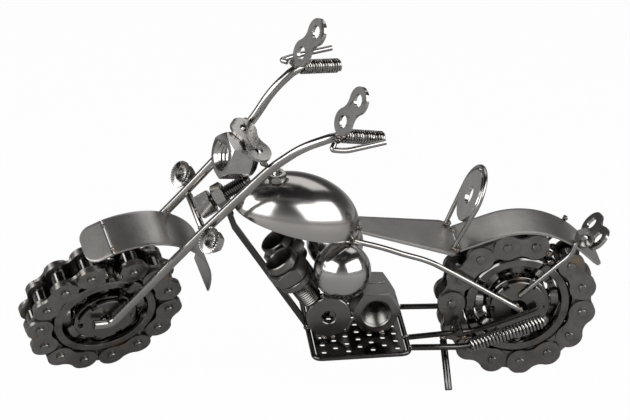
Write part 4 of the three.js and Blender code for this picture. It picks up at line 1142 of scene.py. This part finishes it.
# tank and engine
tank = {
    "at": (-97.6, 0, 46.6), "tilt": math.radians(16.2), "length": 28, "width": 19.6, "height": 19.8,
    "taper": 0.06, "wall": 0.8,
}
capNut = {"flats": 7, "height": 3.2, "bore": 2, "along": -13.5, "aside": -2.5}
crankBall = {"radius": 12.5, "x": -78.8, "z": 26, "y": 12.65}
engineNut = {"flats": 19, "height": 10, "bore": 5.7, "pitch": 1.75, "x": -63.37, "y": 5.15, "z": 1.8}
engineDisc = {"radius": 9.75, "hole": 3.1, "half": 1.5, "x": -84.39, "y": 10.6, "z": 2.55}
plug = {
    "rake": math.radians(34), "y": 8.6, "offset": 1.5, "length": 26.2, "mouth": 7.2, "mouthEnd": 3.6,
    "groove": 0.7, "waist": 6.4, "hexEnd": 10.9, "flats": 16, "shoulder": 7.7, "shoulderEnd": 16.2,
    "thread": 5, "bore": 6.1, "boreDepth": 14.5, "pitch": 1,
}


def addTank():
    bpy.ops.mesh.primitive_uv_sphere_add(segments=96, ring_count=64, radius=1)
    dome = bpy.context.object
    bpy.ops.object.mode_set(mode="EDIT")
    bpy.ops.mesh.select_all(action="SELECT")
    bpy.ops.mesh.bisect(plane_co=(0, 0, 0.001), plane_no=(0, 0, 1), clear_inner=True, use_fill=False)
    bpy.ops.object.mode_set(mode="OBJECT")
    for corner in dome.data.vertices:
        x, y, z = corner.co
        swell = 1 + tank["taper"] * x
        corner.co = (tank["length"] * x, tank["width"] * swell * y, tank["height"] * z)
    addModifier(dome, "SOLIDIFY", thickness=tank["wall"], offset=-1)
    softenEdges(dome, 0.12, 2, 60)
    place = onBike @ at(*tank["at"]) @ Matrix.Rotation(tank["tilt"], 4, "Y")
    settle(dome, "tank_dome", place, "frame", "tank_steel", "tank_shell", smooth=50)

    along, aside = capNut["along"], capNut["aside"]
    halfWidth = tank["width"] * (1 + tank["taper"] * along / tank["length"])
    top = tank["height"] * math.sqrt(1 - (along / tank["length"]) ** 2 - (aside / halfWidth) ** 2)
    outward = Vector((along / tank["length"] ** 2, aside / halfWidth ** 2, top / tank["height"] ** 2))
    outward.normalize()
    centre = Vector((along, aside, top)) + outward * (weldGap + capNut["height"] / 2)
    nut = hexNut(capNut["flats"], capNut["height"], capNut["bore"], 0.8, 0.4)
    settle(nut, "cap_nut_threaded", place @ Matrix.Translation(centre) @ alongY(outward), "frame",
           "bright_nut", "tank_cap_nut")
    return place @ Matrix.Translation(centre)


def plugBody():
    end = plug["length"]
    body = turned("plug", [
        (0, 0.9), (plug["bore"] - 0.2, 0), (plug["mouth"] - 0.4, 0), (plug["mouth"], 0.4),
        (plug["mouth"], plug["mouthEnd"] - 0.2), (plug["mouth"] - 0.2, plug["mouthEnd"]),
        (plug["waist"], plug["mouthEnd"]), (plug["waist"], plug["hexEnd"] + plug["groove"]),
        (plug["shoulder"] - 0.25, plug["hexEnd"] + plug["groove"]),
        (plug["shoulder"], plug["hexEnd"] + plug["groove"] + 0.25), (plug["shoulder"], 14.2),
        (plug["shoulder"] - 0.5, 14.7), (plug["thread"] - 0.45, plug["shoulderEnd"]),
        (plug["thread"] - 0.45, end - 1), (plug["thread"] - 1.2, end), (0, end),
    ], 96)
    hexagon = hexBody(plug["flats"], 6.6)
    hexagon.data.transform(at(0, plug["mouthEnd"] + plug["groove"] + 3.3, 0))
    cut(body, hexagon, "UNION")
    hole = turned("hole", [
        (0, -1), (plug["bore"] + 0.8, -1), (plug["bore"], 0.8), (plug["bore"], plug["boreDepth"]),
        (0, plug["boreDepth"]),
    ], 72)
    cut(body, hole)
    length = end - plug["shoulderEnd"] - 1.2
    thread = threadRidge(plug["thread"] - 0.4, plug["pitch"], length)
    thread.data.transform(at(0, plug["shoulderEnd"] + length / 2 + 0.3, 0))
    return joined([body, thread])


def addEngine():
    down = Vector((math.sin(plug["rake"]), 0, -math.cos(plug["rake"])))
    across = Vector((0, 1, 0))
    aside = Vector((-down.z, 0, down.x))
    for name, side in sides:
        disc = Vector((engineDisc["x"], side * plug["y"], engineDisc["z"]))
        reach = engineDisc["radius"] + weldGap + plug["length"]
        mouth = disc - aside * plug["offset"] - down * reach
        place = onBike @ Matrix.Translation(mouth) @ facing(across, down, across.cross(down))
        settle(plugBody(), f"plug_shell_{name}", place, "frame", "dark_steel", f"spark_plug_{name}")

        nut = hexNut(engineNut["flats"], engineNut["height"], engineNut["bore"], engineNut["pitch"], 1)
        place = onBike @ at(engineNut["x"], side * engineNut["y"], engineNut["z"])
        place = place @ Matrix.Rotation(math.radians(30), 4, "Y")
        settle(nut, f"engine_nut_threaded_{name}", place, "frame", "dark_steel", f"engine_nut_{name}")

        half, radius, hole = engineDisc["half"], engineDisc["radius"], engineDisc["hole"]
        ring = turned("ring", [
            (hole + 0.3, -half), (radius - 0.35, -half), (radius, 0.35 - half), (radius, half - 0.35),
            (radius - 0.35, half), (hole + 0.3, half), (hole, half - 0.3), (hole, 0.3 - half),
        ])
        place = onBike @ at(engineDisc["x"], side * engineDisc["y"], engineDisc["z"])
        settle(ring, f"engine_ring_{name}", place, "frame", "dark_steel", f"engine_disc_{name}")

        bpy.ops.mesh.primitive_uv_sphere_add(segments=96, ring_count=64, radius=crankBall["radius"])
        place = onBike @ at(crankBall["x"], side * crankBall["y"], crankBall["z"])
        settle(bpy.context.object, f"crank_ball_steel_{name}", place, "frame", "polished_ball",
               f"crank_ball_{name}")


capPlace = addTank()
addEngine()
print("tank and engine made")


# weld beads
# a lumpy run of weld metal: a few uneven drops in a row, set on one joint
def weldRun(name, spots, place, body, radius):
    drops = []
    for k, spot in enumerate(spots):
        spot = Vector(spot)
        for j in range(3):
            seed = Vector((1.7 * k + 3.1 * j, 2.3 * j - k, 0.9 * k))
            shift = Vector((
                noise.noise(seed), noise.noise(seed + Vector((5, 1, 2))),
                noise.noise(seed + Vector((9, 4, 7))),
            )) * radius
            bpy.ops.mesh.primitive_ico_sphere_add(subdivisions=3, radius=radius * (1 - 0.18 * j))
            drop = bpy.context.object
            for corner in drop.data.vertices:
                lump = noise.noise(corner.co / radius * 1.6 + seed * 3)
                corner.co *= 1 + 0.34 * lump
            drop.data.transform(Matrix.Translation(spot + shift * (0.9 if j else 0.2)))
            drops.append(drop)
    bead = joined(drops)
    addModifier(bead, "REMESH", mode="VOXEL", voxel_size=0.22, use_smooth_shade=True)
    return settle(bead, name, place, body, "weld", smooth=60)


# radius and places of the beads on the frame
frameWelds = {
    "head": (1.3, [(-127.3, 0, 54), (-125.6, 1, 50)]),
    "tube_foot": (1.5, [(-92.7, -1.8, -8), (-92.2, 1.8, -8)]),
    "stand": (1.5, [(-33.7, -11.8, -11.2)]),
    "exhaust": (1.3, [(-50.2, -21.4, -9.3)]),
    "exhaust_rail": (1.3, [(-24, -17.4, -10.8), (-25, -14, -10.4)]),
    "loop_seam": (1.2, [(-71.5, 26.4, -9.4)]),
    "tail": (1.2, [tailNutAt + tailBack * 3.2 - tailOut, tailNutAt + tailBack * 3 + tailOut * 2]),
}
# the same for beads that both sides of the frame carry, with y counted outwards
pairedWelds = {
    "disc_foot": (1.3, [(engineDisc["x"] - 2, 11, -7.9), (engineDisc["x"] + 2, 11, -8)]),
    "disc_top": (1.5, [(engineDisc["x"] - 2.5, 10.4, 12.4)]),
    "nut_foot": (1.5, [(engineNut["x"] + 2.6, 9.6, -8.1)]),
    "disc_nut": (1.1, [(-74.4, 9.4, 2.4)]),
    "ball": (1.7, [(-70.5, 7.5, 14.2)]),
    "rail_top": (1.2, [(-74, 8, 38.6)]),
    "seat_front": (1.1, [(-70.4, 3.6, 41.8)]),
    "hoop_foot": (1.2, [(hoopFoot.x, 10.9, hoopFoot.z - 0.4), (hoopFoot.x + 1.4, 12.2, hoopFoot.z - 0.8)]),
    "seat_fender": (1.2, [(-27.9, 7, 32)]),
    "axle": (1.5, [(0.4, 10.2, -0.4), (-1.2, 9.6, 1.6)]),
    "stay_foot": (1, [(0.4, 9.9, 6.4)]),
    "stay_top": (1, [(23.4, 11.6, 32.2)]),
    "rail_axle": (1, [(6.6, 9.9, -0.6)]),
    "rail_base": (1.4, [(-50.6, 13, -9.2)]),
    "peg": (1.3, [(peg["x"], 10.4, -7.8)]),
}
seamWeld = {"half": math.radians(19), "radius": 1.5, "out": {"rear": 7, "front": 6}}


# where a fork rod passes the front fender's edge
def legAtFender(start):
    along = (start - frontHub).normalized()
    centre = Vector((frontHub.x + frontFender["centre"][0], 0, frontFender["centre"][1]))
    joint = start
    while Vector((joint.x - centre.x, joint.z - centre.z)).length < frontFender["radius"]:
        joint = joint + Vector((along.x, 0, along.z)) * 0.3
    return joint


def forkWelds(name, side):
    bridge = stemAt(fork["bridgeAlong"])
    points = forkPoints(name, side)
    root = points["gripStart"]
    leg = legAtFender(points["start"])
    return {
        "toe": (1.3, [frontHub + Vector((-1.5, side * 9.7, 2)), frontHub + Vector((1.8, side * 9.7, 0.6))]),
        "bridge": (1.6, [(bridge.x, side * 9.6, bridge.z)]),
        "signal": (1.2, [(bridge.x - 0.2, side * 14.3, bridge.z + 2)]),
        "yoke": (1.5, [(-117, side * 12, 90.6)]),
        "grip": (1.4, [root + Vector((0, side * 0.4, 1.4)), root + Vector((-1, side * 2.6, 0.2))]),
        "nose": (0.9, [(-179.4, side * 6.6, 46.6)]),
        "fender_leg": (1.1, [(leg.x, side * 9.9, leg.z)]),
    }


def addSeamWeld(end, hub, name, side):
    angle = wheel["first"][end] - seamWeld["half"]
    y = side * seamWeld["out"][end]
    spots = [
        (radius * math.cos(angle + turn), y, radius * math.sin(angle + turn))
        for radius, turn in ((27, -0.12), (28.5, 0.1), (25.2, 0))
    ]
    weldRun(f"weld_{end}_seam_{name}", spots, hub, f"{end}_wheel", seamWeld["radius"])


def addWelds():
    for label, (radius, spots) in frameWelds.items():
        weldRun(f"weld_{label}", spots, onBike, "frame", radius)
    for name, side in sides:
        for label, (radius, spots) in pairedWelds.items():
            spots = [(x, side * y, z) for x, y, z in spots]
            weldRun(f"weld_{label}_{name}", spots, onBike, "frame", radius)
        for label, (radius, spots) in forkWelds(name, side).items():
            weldRun(f"weld_{label}_{name}", spots, onFork, "fork", radius)
        addSeamWeld("rear", onBike, name, side)
        addSeamWeld("front", onFork @ Matrix.Translation(frontHub), name, side)
    weldRun("weld_stem_head", [stemAt(-11.2)], onFork, "fork", 1.9)
    weldRun("weld_headlight", [(-119.8, 0, 85.4), (-118.8, -2, 88.6)], onFork, "fork", 1.7)
    weldRun("weld_cap", [(0, 0.8, -1.4), (4.6, -0.4, -0.5)], capPlace, "frame", 0.9)


addWelds()
print("welds made")


# floor, light and camera
view = {"turn": (2.0757, -0.1220, 0.0770), "offset": (88.4, 38.5, 1300), "lens": 168.06, "sensor": 36}


def addCamera():
    spin = Vector(view["turn"])
    matrix = Matrix.Rotation(spin.length, 3, spin.normalized())
    spot = -(matrix.transposed() @ Vector(view["offset"]))
    axes = Matrix((matrix[0], -matrix[1], -matrix[2])).transposed()
    lens = bpy.data.cameras.new("camera")
    lens.lens = view["lens"]
    lens.sensor_width = view["sensor"]
    lens.clip_start = 0.05
    camera = bpy.data.objects.new("camera", lens)
    bpy.context.scene.collection.objects.link(camera)
    camera.matrix_world = Matrix.Translation(onBike @ spot) @ (bikeTurn @ axes).to_4x4()
    bpy.context.scene.camera = camera
    return camera


studio = {
    "middle": (0, 0, 0.06), "floor": 6, "softWidth": 1.25, "softHeight": 0.7,
    "floorShade": 0.45, "floorSeen": 0.98, "sky": ((0.0, 0.5), (0.3, 0.1), (0.8, 0.02)),
    "boxes": [("softLeft", -56, 25, 1.05, 12), ("softRight", 54, 27, 1.05, 11),
              ("softBack", 165, 60, 1.3, 3)],
}


def addStudio(camera):
    bpy.ops.mesh.primitive_plane_add(size=studio["floor"])
    floor = bpy.context.object
    floor.name = "floor"
    pale = bpy.data.materials.new("paleFloor")
    pale.use_nodes = True
    tree = pale.node_tree
    shader = tree.nodes["Principled BSDF"]
    shader.inputs["Base Color"].default_value = (*[studio["floorShade"]] * 3, 1)
    shader.inputs["Roughness"].default_value = 0.9
    glow = addNode(tree, "Emission")
    glow.inputs["Strength"].default_value = 1.0
    seen = addNode(tree, "LightPath")
    share = addNode(tree, "Math", operation="MULTIPLY")
    share.inputs[1].default_value = studio["floorSeen"]
    mix = addNode(tree, "MixShader")
    tree.links.new(seen.outputs["Is Camera Ray"], share.inputs[0])
    tree.links.new(share.outputs[0], mix.inputs[0])
    tree.links.new(shader.outputs[0], mix.inputs[1])
    tree.links.new(glow.outputs[0], mix.inputs[2])
    tree.links.new(mix.outputs[0], tree.nodes["Material Output"].inputs["Surface"])
    floor.data.materials.append(pale)

    world = bpy.data.worlds.new("studio")
    bpy.context.scene.world = world
    world.use_nodes = True
    tree = world.node_tree
    background = tree.nodes["Background"]
    place = addNode(tree, "TexCoord")
    height = addNode(tree, "SeparateXYZ")
    shade = addNode(tree, "ValToRGB")
    ramp = shade.color_ramp
    for element, (position, grey) in zip(ramp.elements, studio["sky"]):
        element.position = position
        element.color = (grey, grey, grey, 1)
    position, grey = studio["sky"][-1]
    ramp.elements.new(position).color = (grey, grey, grey, 1)
    seen = addNode(tree, "LightPath")
    white = addNode(tree, "Mix", data_type="RGBA")
    white.inputs[7].default_value = (1, 1, 1, 1)
    tree.links.new(place.outputs["Generated"], height.inputs[0])
    tree.links.new(height.outputs["Z"], shade.inputs[0])
    tree.links.new(seen.outputs["Is Camera Ray"], white.inputs["Factor"])
    tree.links.new(shade.outputs["Color"], white.inputs[6])
    tree.links.new(white.outputs[2], background.inputs["Color"])

    middle = Vector(studio["middle"])
    back = camera.matrix_world.to_translation() - middle
    ahead = math.atan2(back.y, back.x)
    for name, side, lift, distance, power in studio["boxes"]:
        angle = ahead + math.radians(side)
        lift = math.radians(lift)
        offset = Vector((math.cos(angle) * math.cos(lift), math.sin(angle) * math.cos(lift), math.sin(lift)))
        lamp = bpy.data.lights.new(name, "AREA")
        lamp.shape = "RECTANGLE"
        lamp.size = studio["softWidth"]
        lamp.size_y = studio["softHeight"]
        lamp.energy = power
        box = bpy.data.objects.new(name, lamp)
        bpy.context.scene.collection.objects.link(box)
        box.matrix_world = (
            Matrix.Translation(middle + offset * distance)
            @ (-offset).to_track_quat("-Z", "Y").to_matrix().to_4x4()
        )


addStudio(addCamera())
print("studio made")

bpy.context.scene.view_settings.view_transform = "Standard"
